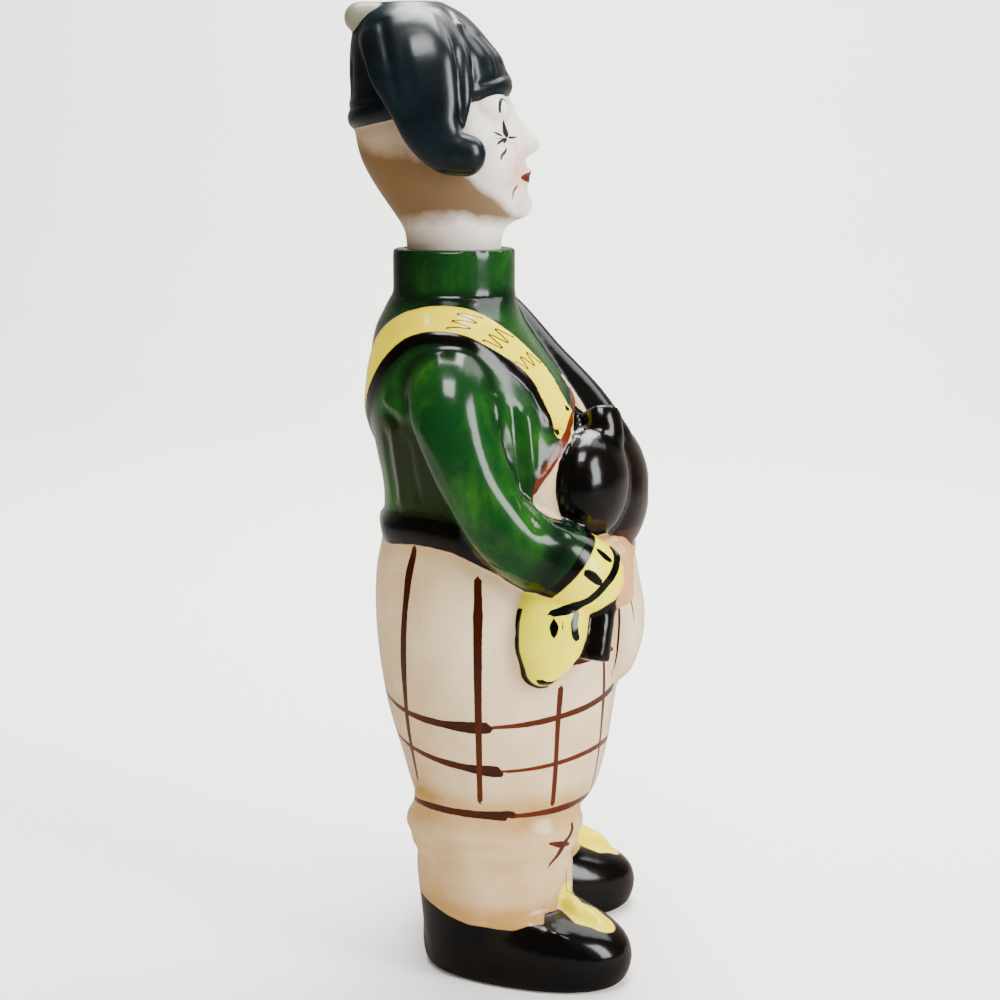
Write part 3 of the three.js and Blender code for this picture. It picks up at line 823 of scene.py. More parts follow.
# Painting is laid out in millimetres on the vertices, so that every brush edge stays sharp.
def formDistances(coords, names, reach=7.0):
    found = {}
    for name in names:
        tree, low, high = shapes[name]
        values = np.full(len(coords), reach)
        near = np.all((coords > low - reach) & (coords < high + reach), axis=1)
        for i in np.nonzero(near)[0]:
            point = Vector(coords[i])
            place, normal, _, distance = tree.find_nearest(point, reach)
            if place is not None:
                values[i] = copysign(distance, (point - place).dot(normal))
        found[name] = values
    return found


def nearestOf(found, stems):
    return np.min([values for name, values in found.items() if name.startswith(stems)], axis=0)


def ownRegion(found, stems):  # how far a vertex lies inside the area of some forms, in millimetres
    mine = nearestOf(found, stems)
    others = [values for name, values in found.items() if not name.startswith(stems)]
    return np.min(others, axis=0) - mine


def curvedPath(points, steps=10):  # points with a last value that is the brush's half width
    count = max((len(points) - 1) * steps, 2)
    return np.array([brushAt(points, t) for t in evenly(0, 1, count)])


def brushAt(points, t):
    centre = routeAt([p[:3] for p in points], t)
    place = min(max(t, 0), 1) * (len(points) - 1)
    i = min(int(place), len(points) - 2)
    half = points[i][3] + (points[i + 1][3] - points[i][3]) * (place - i)
    return (*centre, half)


def alongLine(coords, line, reach):  # the vertices near a line, and where each lies along it and from it
    low, high = line.min(0) - reach, line.max(0) + reach
    chosen = np.nonzero(np.all((coords > low) & (coords < high), axis=1))[0]
    starts, gaps = line[:-1], line[1:] - line[:-1]
    lengths = np.maximum((gaps**2).sum(1), 1e-9)
    offsets = coords[chosen][:, None, :] - starts[None]
    parts = np.clip((offsets * gaps[None]).sum(2) / lengths, 0, 1)
    away = offsets - parts[..., None] * gaps[None]
    nearest = (away**2).sum(2).argmin(1)
    rows = np.arange(len(chosen))
    steps = np.sqrt(lengths)
    travel = np.concatenate([[0], np.cumsum(steps)])
    part = parts[rows, nearest]
    return chosen, {
        "index": nearest,
        "part": part,
        "away": away[rows, nearest],
        "tangent": gaps[nearest] / steps[nearest][:, None],
        "along": travel[nearest] + part * steps[nearest],
        "whole": travel[-1],
    }


def nearRoute(coords, normals, route, reach):  # where the vertices lie along and beside a brush's route
    chosen, near = alongLine(coords, route[:, :3], reach)
    sideways = np.cross(near["tangent"], normals[chosen])
    sideways /= np.maximum(np.linalg.norm(sideways, axis=1), 1e-6)[:, None]
    here, there = route[near["index"], 3], route[near["index"] + 1, 3]
    return chosen, {
        "signed": (near["away"] * sideways).sum(1),
        "distance": np.linalg.norm(near["away"], axis=1),
        "half": here + (there - here) * near["part"],
        "toEnd": np.minimum(near["along"], near["whole"] - near["along"]),
    }


def strokeField(piece, coords, normals, strokes, reach=5.0):
    # For each vertex: signed distance to the nearest brush line, its half width there, and its tone.
    best = np.full(len(coords), 1e3)
    result = np.zeros((len(coords), 3))
    result[:, 0] = reach
    for tone, points in strokes:
        route = curvedPath(points)
        route[:, :3] = laidOn(piece, route)
        chosen, near = nearRoute(coords, normals, route, reach)
        tip = np.clip(near["toEnd"] / np.maximum(near["half"], 0.05), 0, 1)
        half = near["half"] * np.sqrt(np.maximum(1 - (1 - tip) ** 2, 0))
        half = np.where(near["distance"] > half + 2.2, 0, half)
        closer = near["distance"] < np.minimum(best[chosen], reach)
        target = chosen[closer]
        best[target] = near["distance"][closer]
        result[target, 0] = near["signed"][closer]
        result[target, 1] = half[closer]
        result[target, 2] = tone
    return result


def signedRoute(x, y, points):  # distance to a flat line of points, positive on its left
    points = np.array(points, float)
    best = np.full(len(x), 1e9)
    signed = np.zeros(len(x))
    for a, b in zip(points, points[1:]):
        gap = b - a
        length = max(float(gap @ gap), 1e-9)
        part = np.clip(((x - a[0]) * gap[0] + (y - a[1]) * gap[1]) / length, 0, 1)
        dx, dy = x - a[0] - part * gap[0], y - a[1] - part * gap[1]
        distance = np.hypot(dx, dy)
        cross = gap[0] * dy - gap[1] * dx
        closer = distance < best - 1e-6
        best = np.where(closer, distance, best)
        signed = np.where(closer, np.copysign(distance, cross), signed)
    return signed


# Brush lines on the kilt: bearing, height and half width. Brown, with thick dark ends.
kiltLines = {
    "level": [
        [(-146, 95.1, 0.6), (-130, 93.6, 0.7), (-110, 92.6, 0.9), (-97, 92.3, 1.4), (-89, 92.5, 1.3)],
        [(-90, 92.6, 0.4), (-75, 93.6, 0.7), (-60, 95, 0.7), (-40, 96.6, 0.8), (-19, 98.5, 1.0)],
        [(-138, 81.2, 0.6), (-120, 79.8, 0.7), (-100, 78.1, 0.9), (-90, 77.3, 1.4), (-84, 77.1, 1.3)],
        [(-86, 77.2, 0.4), (-60, 78.6, 0.6), (-40, 79.2, 0.7), (-20, 78.6, 0.8), (-4, 76.9, 0.6)],
        [(-134, 60.9, 0.5), (-115, 61.8, 0.8), (-95, 61.6, 0.9), (-80, 61.3, 1.3)],
        [(-82, 61.3, 0.5), (-60, 61.4, 0.8), (-40, 60.8, 0.8), (-22, 60, 0.6)],
        [(-64, 112.5, 0.4), (-50, 113, 0.9), (-38, 113.2, 1.0), (-27, 113.3, 0.6)],
    ],
    "upright": [
        [(-127, 151, 0.7), (-128.4, 143, 1.2), (-129, 130, 1), (-129.6, 112, 1.1), (-129.8, 98, 0.9),
         (-131, 67.6, 0.7)],
        [(-95.5, 142.5, 0.9), (-95, 130, 1.1), (-94.8, 115, 1), (-94.5, 96, 0.85), (-94.2, 66, 0.65)],
        [(-61, 106, 0.8), (-62, 95, 0.7), (-62.5, 80, 0.7), (-63, 63, 0.7)],
        [(-35, 112, 0.6), (-33, 100, 0.8), (-31, 85, 0.7), (-29, 62, 0.5)],
    ],
    "backLevel": [
        [(-141, 94.6, 0.5), (-146, 95.1, 0.6), (-165, 95.7, 0.8), (-195, 95.7, 0.8), (-214, 95.1, 0.6),
         (-219, 94.6, 0.5)],
        [(-134, 80.9, 0.5), (-138, 81.2, 0.6), (-160, 81.9, 0.8), (-200, 81.9, 0.8), (-222, 81.2, 0.6),
         (-226, 80.9, 0.5)],
        [(-129, 61.1, 0.6), (-134, 60.9, 0.7), (-160, 60.8, 0.8), (-200, 60.8, 0.8), (-226, 60.9, 0.7),
         (-231, 61.1, 0.6)],
    ],
    "backUpright": [[(180, 149, 0.8), (179, 130, 1.2), (180, 110, 0.9), (181, 88, 0.8), (180, 64, 0.5)]],
}
# Lines given by points on the surface: side, forward, up and half width. Tone 0 is brown, 1 is black.
surfaceLines = {
    "first": [
        (0.0, [(-42, 20.6, 51.4, 0.4), (-38, 24, 49.6, 0.9), (-33.6, 26.6, 48, 0.4)]),
        (1.0, [(-51.6, 21.8, 132.4, 0.8), (-50.4, 27.2, 133.5, 1.1), (-49.3, 33.4, 136.1, 1),
               (-48.8, 39.6, 141.7, 0.9),
               (-44.6, 42.9, 146.5, 1.1), (-40.4, 43.1, 149.6, 1.1), (-38.1, 40.8, 152.3, 0.7)]),
    ],
    "firstOnTail": [
        (1.0, [(-50.6, 18, 109.6, 1.1), (-50, 21, 108, 0.9), (-48.5, 24.6, 109.4, 0.5),
               (-48, 27, 113, 0.4)]),
    ],
    "second": [
        (0.0, [(-34, 27.6, 55, 0.5), (-36, 25.6, 50, 0.9), (-37.6, 23, 45.4, 0.7),
               (-39, 20.6, 41.4, 0.3)]),
        (0.6, [(-33.4, 29.6, 38, 0.2), (-34, 29.4, 34, 0.25), (-33.4, 30.4, 31, 0.2)]),
        (1.0, [(-46.6, 36.8, 153.2, 0.6), (-46, 39.5, 150.7, 0.9), (-44.7, 41.8, 148.6, 0.6)]),
        (1.0, [(-52.1, 33, 147.1, 0.8), (-51.1, 35.8, 145, 1.1), (-49.5, 38.5, 142.2, 0.7)]),
        (0.8, [(-19.6, 43.6, 140, 0.25), (-20.6, 44, 127, 0.3), (-20.8, 43.6, 114, 0.3),
               (-18.4, 43, 102, 0.2)]),
        (0.8, [(-15.4, 47.6, 136, 0.2), (-16.2, 48.4, 128, 0.3), (-16, 48.8, 121, 0.2)]),
        (0.9, [(-18, 27.6, 198, 0.2), (-22, 29.6, 196, 0.3), (-25.3, 32.8, 192.9, 0.25)]),
        (0.1, [(-1.6, 24.4, 204.2, 0.6), (-7, 26, 200.8, 0.8), (-14, 27.2, 197, 0.8),
               (-25.3, 27.4, 192.8, 0.8),
               (-30.2, 26.1, 188.2, 0.9), (-34.8, 23.7, 183.6, 1), (-38.1, 20.6, 178.8, 1.1),
               (-40.7, 17.6, 174, 0.9),
               (-41, 15.8, 170.3, 0.5)]),
    ],
    "secondOnTail": [
        (1.0, [(-52.8, 23.3, 131, 0.4), (-53.4, 23.4, 128.4, 1.1), (-53.9, 23.4, 125.4, 0.6)]),
        (1.0, [(-49.2, 30.8, 132.8, 0.6), (-51.2, 29.9, 129.3, 0.9), (-51.5, 30.4, 125, 1),
               (-50.8, 31.4, 123.8, 0.6)]),
    ],
}


def kiltStrokes(names):
    made = []
    for name in names:
        for line in kiltLines[name]:
            sides = (1,) if name.startswith("back") else (1, -1)
            for side in sides:
                points = [(*paintSpot(side * bearing, up), half) for bearing, up, half in line]
                made.append((0.0, points))
    return made


def surfaceStrokes(lines, flips=(1, -1)):
    return [(tone, flipped(line, flip)) for tone, line in lines for flip in flips]


def beltCoordinates(coords, reach=9.0):  # along the belt, across it and from its middle, in millimetres
    frames = [beltFrame(t) for t in evenly(0, 1, 160)]
    across = np.array([f[2] for f in frames])
    result = np.zeros((len(coords), 3))
    result[:, 1] = belt["away"]
    chosen, near = alongLine(coords, np.array([f[0] for f in frames]), reach)
    result[chosen, 0] = near["along"]
    result[chosen, 1] = (near["away"] * across[near["index"]]).sum(1)
    result[chosen, 2] = np.linalg.norm(near["away"], axis=1)
    return result


def figureCoords(piece):
    return readCoords(piece) @ np.array(toFigure.to_3x3()).T + np.array(toFigure.translation)


def vertexNormals(piece):
    normals = np.zeros(len(piece.data.vertices) * 3)
    piece.data.vertices.foreach_get("normal", normals)
    return normals.reshape(-1, 3)


# Where the bottle's paints end. The arm's areas are measured along the forearm from the wrist.
bottlePaint = {
    "bearingScale": 0.75,  # how far one degree of bearing counts against one millimetre of height
    "jacketSpan": (136, 214),
    "wrist": (41.6, -23, 148.4),
    "forearm": (-3.1, -10, -6.4),
    "forearmLength": 12.27,
    "greenEnd": 2.4,
    "darkBand": (1.9, 5.5),
    "cuffStart": 5,
    "shadedFlank": (25.5, 193.5, -4),
    "ankleForward": [-24, -19, -13, -6, 4, 10, 15, 23, 29],
    "ankleUp": [28, 26.4, 24.2, 22.2, 21.2, 21.4, 23.2, 23.4, 22.4],
    "toesForward": 20,
    "pipeOverlap": 0.9,
    "bagNeck": {"reach": 5, "low": 183, "high": 199.6, "forward": 28, "side": -28},
    "tailRim": {"depth": 2.3, "overlap": 0.9, "forward": 21.5, "high": 133},
    "strapOverlap": 0.4,
    "stub": {"high": 153.5, "forward": 43, "chanterEnd": 116.2},
    "pooling": 6,
}


def paintBottle(piece, forms):
    coords, normals = figureCoords(piece), vertexNormals(piece)
    side, forward, up = coords[:, 0], -coords[:, 1], coords[:, 2]
    found = formDistances(coords, forms)
    # Beside a sharp rim the nearest face can't tell inside from outside, so these are told apart by place.
    beltPlace = beltCoordinates(coords)
    offBelt = (beltPlace[:, 1] >= belt["away"]) | (beltPlace[:, 2] > belt["paintHalf"])
    found["belt"] = np.where(offBelt, np.abs(found["belt"]), found["belt"])
    for name in ("shoe-1", "shoe1"):
        found[name] = np.where(up > legs["shoeRows"][-1][0], np.abs(found[name]), found[name])
    # The jacket's outline on the trunk, walked from the middle of the back to the middle of the front.
    scale = bottlePaint["bearingScale"]
    bearing = np.degrees(np.arctan2(np.abs(side), forward - 2))
    outline = [(turn * scale, height) for turn, height in jacket["hem"] + jacket["frontEdge"]]
    onJacket = -signedRoute(bearing * scale, up, outline)
    low, high = bottlePaint["jacketSpan"]
    onJacket = np.where(up > high, 9, np.where(up < low, -9, onJacket))
    # Distance along the forearm parts the green sleeve, the dark band and the yellow cuff.
    forearm = np.array(bottlePaint["forearm"]) / bottlePaint["forearmLength"]
    fromWrist = np.stack([np.abs(side), coords[:, 1], up], axis=1) - np.array(bottlePaint["wrist"])
    reach = fromWrist @ forearm
    below = 148 - up
    reach += np.where(below > 0, below * 0.2 + np.maximum(20 - forward, 0) * 0.5, below * 0.16)
    arm = ownRegion(found, ("sleeve", "cuff"))
    onBody = ("trunk", "edgeRoll", "hem", "belt", "band")
    nearer = nearestOf(found, onBody) - nearestOf(found, ("sleeve", "cuff"))
    coat = ownRegion(found, (*onBody, "sleeve", "cuff", "collar", "bag", "drone"))
    bodyEdge = np.maximum(onJacket, nearer)
    sleeveEdge = np.maximum(bottlePaint["greenEnd"] - reach, -nearer)
    storeField(piece, "jacketArea", np.minimum.reduce([coat, bodyEdge, sleeveEdge]))
    # Painted shade on the jacket's back, behind and below the arm
    inner, top, front = bottlePaint["shadedFlank"]
    shadedFlank = [-nearer, np.abs(side) - inner, top - up, front - forward]
    storeField(piece, "flankArea", np.minimum.reduce(shadedFlank))
    low, high = bottlePaint["darkBand"]
    band = np.minimum.reduce([arm, reach - low, high - reach])
    ankle = np.interp(forward, bottlePaint["ankleForward"], bottlePaint["ankleUp"])
    shoe = np.minimum(ownRegion(found, ("shoe", "leg")), ankle - up)
    shoe = np.maximum(shoe, np.minimum(ownRegion(found, ("shoe",)), forward - bottlePaint["toesForward"]))
    tongue = np.minimum(tongueField(coords, normals), ownRegion(found, ("tongue", "shoe", "leg")))
    shoe = np.minimum(shoe, -tongue)
    limit = bottlePaint["bagNeck"]
    neck = [limit["reach"] - found["bagNeck"], up - limit["low"], limit["high"] - up,
            forward - limit["forward"], side - limit["side"]]
    pipe = ownRegion(found, ("bag", "chanter", "drone")) + bottlePaint["pipeOverlap"]
    pipe = np.maximum(pipe, np.minimum.reduce(neck))
    flap, limit = ownRegion(found, ("tail",)), bottlePaint["tailRim"]
    rim = [limit["depth"] - flap, flap + limit["overlap"], limit["forward"] - forward, limit["high"] - up]
    dark = [shoe, band, pipe, np.minimum.reduce(rim), ownRegion(found, ("hem", "band"))]
    storeField(piece, "blackArea", np.maximum.reduce(dark))
    strap = [ownRegion(found, ("belt",)), onJacket + bottlePaint["strapOverlap"],
             belt["paintHalf"] - np.abs(beltPlace[:, 1])]
    cuff = np.minimum(arm, reach - bottlePaint["cuffStart"])
    storeField(piece, "yellowArea", np.maximum.reduce([np.minimum.reduce(strap), cuff, flap, tongue]))
    limit = bottlePaint["stub"]
    stub = np.minimum.reduce([pipe, limit["high"] - up, forward - limit["forward"]])
    foot = np.minimum(ownRegion(found, ("chanter",)), limit["chanterEnd"] - up)
    storeField(piece, "stubArea", np.maximum(stub, foot))
    storeField(piece, "skinArea", ownRegion(found, ("hand",)))
    storeVectors(piece, "beltPlace", beltPlace)
    # Painted shade at the collar's foot, on the collar's back and beside the belt
    collarFoot = np.exp(-((up - body["collarFoot"]) / 3.4) ** 2)
    strapEdge = np.exp(-((np.abs(found["belt"]) - 0.6) / 2.6) ** 2) * (found["belt"] > 0)
    collarBack = np.where(up > body["collarFoot"] + 2, np.clip((-12 - forward) / 20, 0, 1), 0)
    storeField(piece, "shade", np.maximum.reduce([collarFoot, strapEdge, collarBack]))
    first = kiltStrokes(("level", "backUpright")) + surfaceStrokes(surfaceLines["first"])
    first += surfaceStrokes(surfaceLines["firstOnTail"], (1,))
    second = kiltStrokes(("upright", "backLevel")) + surfaceStrokes(surfaceLines["second"])
    second += surfaceStrokes(surfaceLines["secondOnTail"], (1,))
    storeVectors(piece, "firstLines", strokeField(piece, coords, normals, first))
    storeVectors(piece, "secondLines", strokeField(piece, coords, normals, second))
    storeShared(piece, coords, found, bottlePaint["pooling"])


def tongueField(coords, normals):  # the painted tongue of each shoe
    result = np.full(len(coords), -5.0)
    for flip in (1, -1):
        route = curvedPath(flipped(legs["tonguePaint"], flip))
        chosen, near = nearRoute(coords, normals, route, 14)
        result[chosen] = np.maximum(result[chosen], near["half"] - near["distance"])
    return result


def storeShared(piece, coords, found, poolShadeReach):
    # Glaze pools, and painted shade darkens, where two forms meet. The inside lies deeper under the outer
    # forms than the smoothing sinks.
    ranked = np.sort(np.stack(list(found.values())), axis=0)
    storeField(piece, "pooling", np.clip(1 - np.abs(ranked[1]) / poolShadeReach, 0, 1))
    depth = nearestOf(found, ("trunk", "sleeve", "leg", "shoe", "collar", "skull", "neck", "plug"))
    if "leg1" in found:  # between shoe and kilt only the legs themselves count
        inLeg = (coords[:, 2] > 16) & (coords[:, 2] < 56)
        depth = np.where(inLeg, nearestOf(found, ("leg",)), depth)
    storeField(piece, "wallInside", np.where(depth < -3.1, 1.0, 0.0))


faceLines = {
    "first": [
        (1.0, [(-15.6, 2.7, 293.4, 0.25), (-16.1, 2.6, 295.4, 0.34), (-15, 2.9, 297.2, 0.34),
               (-13, 3.5, 298, 0.3),
               (-12, 4.5, 297.2, 0.26), (-11.6, 5.2, 295.6, 0.16)]),
        (0.7, [(-12.2, 3.5, 291.2, 0.15), (-12.7, 3.9, 289, 0.5), (-12.9, 4.2, 287, 0.7),
               (-12.5, 5, 285.6, 0.5)]),
        (0.9, [(-15.5, 4.8, 282.1, 0.15), (-16.7, 4.6, 280.8, 0.25), (-18, 3.7, 279.7, 0.3),
               (-18.7, 3.2, 278, 0.2)]),
        (0.4, [(-9.2, 8.2, 269.8, 0.14), (-10.6, 7.5, 268.7, 0.22), (-11.5, 6.8, 267.3, 0.2),
               (-11.5, 6.5, 265, 0.12)]),
    ],
    "second": [
        (0.9, [(-16.8, 0.8, 287.1, 0.15), (-15.9, 1.9, 286.6, 0.25), (-14.6, 3.2, 285.8, 0.2)]),
        (0.9, [(-17.3, 2, 283, 0.15), (-16.4, 2.5, 283.7, 0.25), (-15.2, 3.4, 284.4, 0.25),
               (-13.8, 4.4, 285, 0.2)]),
        (0.9, [(-13.2, 4.7, 285.2, 0.25), (-14.2, 4.3, 284.2, 0.25), (-15.4, 3.9, 283.3, 0.15)]),
        (0.8, [(-12.4, 5.2, 285.3, 0.25), (-10.1, 6.7, 285.4, 0.2), (-7.7, 7.7, 285.6, 0.12)]),
    ],
}


headPaint = {
    "mouth": {"up": 272.4, "half": 2, "reach": 8, "droop": 0.04, "forward": 6},
    "parting": {"up": 272.3, "half": 0.42},
    "nape": ([-48, -36, -27, -16, -8, -1, 6, 12], [284, 281, 281, 278.5, 274, 269, 261.5, 256]),
    "throat": ([-40, -32, -21, -11, 0, 8], [256, 256.6, 258.4, 259.4, 258, 256]),
    "blush": (9, 7.6, 274),
    "blushSpread": 60,
    "lineReach": 3,
    "pooling": 5,
}


def paintHead(piece, forms):
    coords, normals = figureCoords(piece), vertexNormals(piece)
    side, forward, up = coords[:, 0], -coords[:, 1], coords[:, 2]
    found = formDistances(coords, forms)
    storeField(piece, "bonnetArea", ownRegion(found, ("crown", "bonnet")))
    storeField(piece, "bobbleArea", ownRegion(found, ("bobble",)))
    mouth, parting = headPaint["mouth"], headPaint["parting"]
    droop = mouth["droop"] * np.abs(side)
    lips = mouth["half"] * (1 - (side / mouth["reach"]) ** 2) - np.abs(up - mouth["up"] + droop)
    between = parting["half"] - np.abs(up - parting["up"] + droop)
    storeField(piece, "lipArea", np.where(forward > mouth["forward"], lips, -5))
    storeField(piece, "mouthLine", np.where(forward > mouth["forward"], between, -5))
    nape, throat = np.interp(forward, *headPaint["nape"]), np.interp(forward, *headPaint["throat"])
    storeField(piece, "ochreArea", np.minimum(nape - up, up - throat))
    blushAt = np.stack([np.abs(side), forward, up], axis=1) - np.array(headPaint["blush"])
    storeField(piece, "blush", np.exp(-(blushAt**2).sum(1) / headPaint["blushSpread"]))
    for name in ("first", "second"):
        strokes = strokeField(piece, coords, normals, surfaceStrokes(faceLines[name]), headPaint["lineReach"])
        storeVectors(piece, f"{name}Lines", strokes)
    storeShared(piece, coords, found, headPaint["pooling"])


# Materials. Colours are written as a painter would mix them and turned into light values here.
def paintColour(code):
    parts = [int(code[i:i + 2], 16) / 255 for i in (1, 3, 5)]
    return (*[((p + 0.055) / 1.055) ** 2.4 if p > 0.04045 else p / 12.92 for p in parts], 1)


def addNode(tree, kind, inputs=None, **settings):
    node = tree.nodes.new(kind)
    for setting, value in settings.items():
        setattr(node, setting, value)
    for socket, value in (inputs or {}).items():
        if isinstance(value, bpy.types.NodeSocket):
            tree.links.new(value, node.inputs[socket])
        else:
            node.inputs[socket].default_value = value
    return node


def calc(tree, operation, a, b=0.0, clamp=False):
    return addNode(tree, "ShaderNodeMath", {0: a, 1: b}, operation=operation, use_clamp=clamp).outputs[0]


def field(tree, name):
    return addNode(tree, "ShaderNodeAttribute", attribute_name=name, attribute_type="GEOMETRY").outputs["Fac"]


def fieldParts(tree, name):
    layer = addNode(tree, "ShaderNodeAttribute", attribute_name=name, attribute_type="GEOMETRY")
    return addNode(tree, "ShaderNodeSeparateXYZ", {0: layer.outputs["Vector"]}).outputs


def over(tree, factor, below, above):
    return addNode(tree, "ShaderNodeMix", {0: factor, 6: below, 7: above}, data_type="RGBA").outputs[2]


def noise(tree, coords, size, detail=3.0, roughness=0.5):  # size is the length of one patch in millimetres
    scale = 1000 / size
    node = addNode(tree, "ShaderNodeTexNoise", {"Vector": coords, "Scale": scale, "Detail": detail,
                                                "Roughness": roughness})
    return node.outputs["Fac"]


def ramp(tree, value, low, high, toLow=0.0, toHigh=1.0):
    node = addNode(tree, "ShaderNodeMapRange", {"Value": value, "From Min": low, "From Max": high,
                                                "To Min": toLow, "To Max": toHigh})
    return node.outputs[0]


def edgeOf(tree, area, wobble, sway=1.0, soft=0.22):  # a painted area's cover, with the brush's own wobble
    moved = calc(tree, "ADD", field(tree, area), calc(tree, "MULTIPLY", wobble, sway))
    return ramp(tree, moved, -soft, soft)


def lineCover(tree, parts, wobble, sway, weight, soft=0.16):
    across = calc(tree, "ABSOLUTE", parts[0])
    half = calc(tree, "MULTIPLY", parts[1], calc(tree, "ADD", weight, calc(tree, "MULTIPLY", wobble, sway)))
    return ramp(tree, calc(tree, "SUBTRACT", half, across), 0.0, soft)


def startGlaze(name):
    material = bpy.data.materials.new(name)
    material.use_nodes = True
    tree = material.node_tree
    tree.nodes.clear()
    coords = addNode(tree, "ShaderNodeTexCoord").outputs["Object"]
    fine = calc(tree, "SUBTRACT", noise(tree, coords, 2.2, 2), 0.5)
    broad = calc(tree, "SUBTRACT", noise(tree, coords, 9, 2), 0.5)
    wobble = calc(tree, "ADD", calc(tree, "MULTIPLY", fine, 0.5), calc(tree, "MULTIPLY", broad, 1.1))
    return material, tree, coords, wobble


glaze = {
    "bumpStrength": 0.35,
    "bumpDepth": 0.0004,
    "ior": 1.5,
    "specular": 0.36,
    "bottleRoughness": 0.17,
    "faceRoughness": 0.36,
    "bonnetRoughness": 0.26,
    "clayRoughness": 0.7,
    "waves": 14,
    "ripples": 3.5,
}


def finishGlaze(tree, coords, colour, height, roughness):
    waves = noise(tree, coords, glaze["waves"], 2)
    ripple = noise(tree, coords, glaze["ripples"], 2)
    relief = calc(tree, "ADD", waves, calc(tree, "MULTIPLY", ripple, 0.18))
    relief = calc(tree, "ADD", relief, height)
    bump = addNode(tree, "ShaderNodeBump", {"Strength": glaze["bumpStrength"], "Distance": glaze["bumpDepth"],
                                            "Height": relief})
    shader = addNode(tree, "ShaderNodeBsdfPrincipled", {
        "Base Color": colour,
        "Roughness": roughness,
        "IOR": glaze["ior"],
        "Specular IOR Level": glaze["specular"],
        "Normal": bump.outputs[0],
    })
    addNode(tree, "ShaderNodeOutputMaterial", {0: shader.outputs[0]})


bottleColours = {
    "cream": "#e2cba4",
    "creamWarmAndShade": "#ab8247",
    "green": "#0a3110",
    "greenShade": "#031008",
    "greenBright": "#245714",
    "oliveShade": "#141a03",
    "yellow": "#ece000",
    "yellowDeep": "#d6a602",
    "black": "#020303",
    "blackBrown": "#0e0502",
    "brown": "#2f0e01",
    "brownLight": "#5c2104",
    "rust": "#561d03",
    "skin": "#c99468",
    "clay": "#cdb894",
}


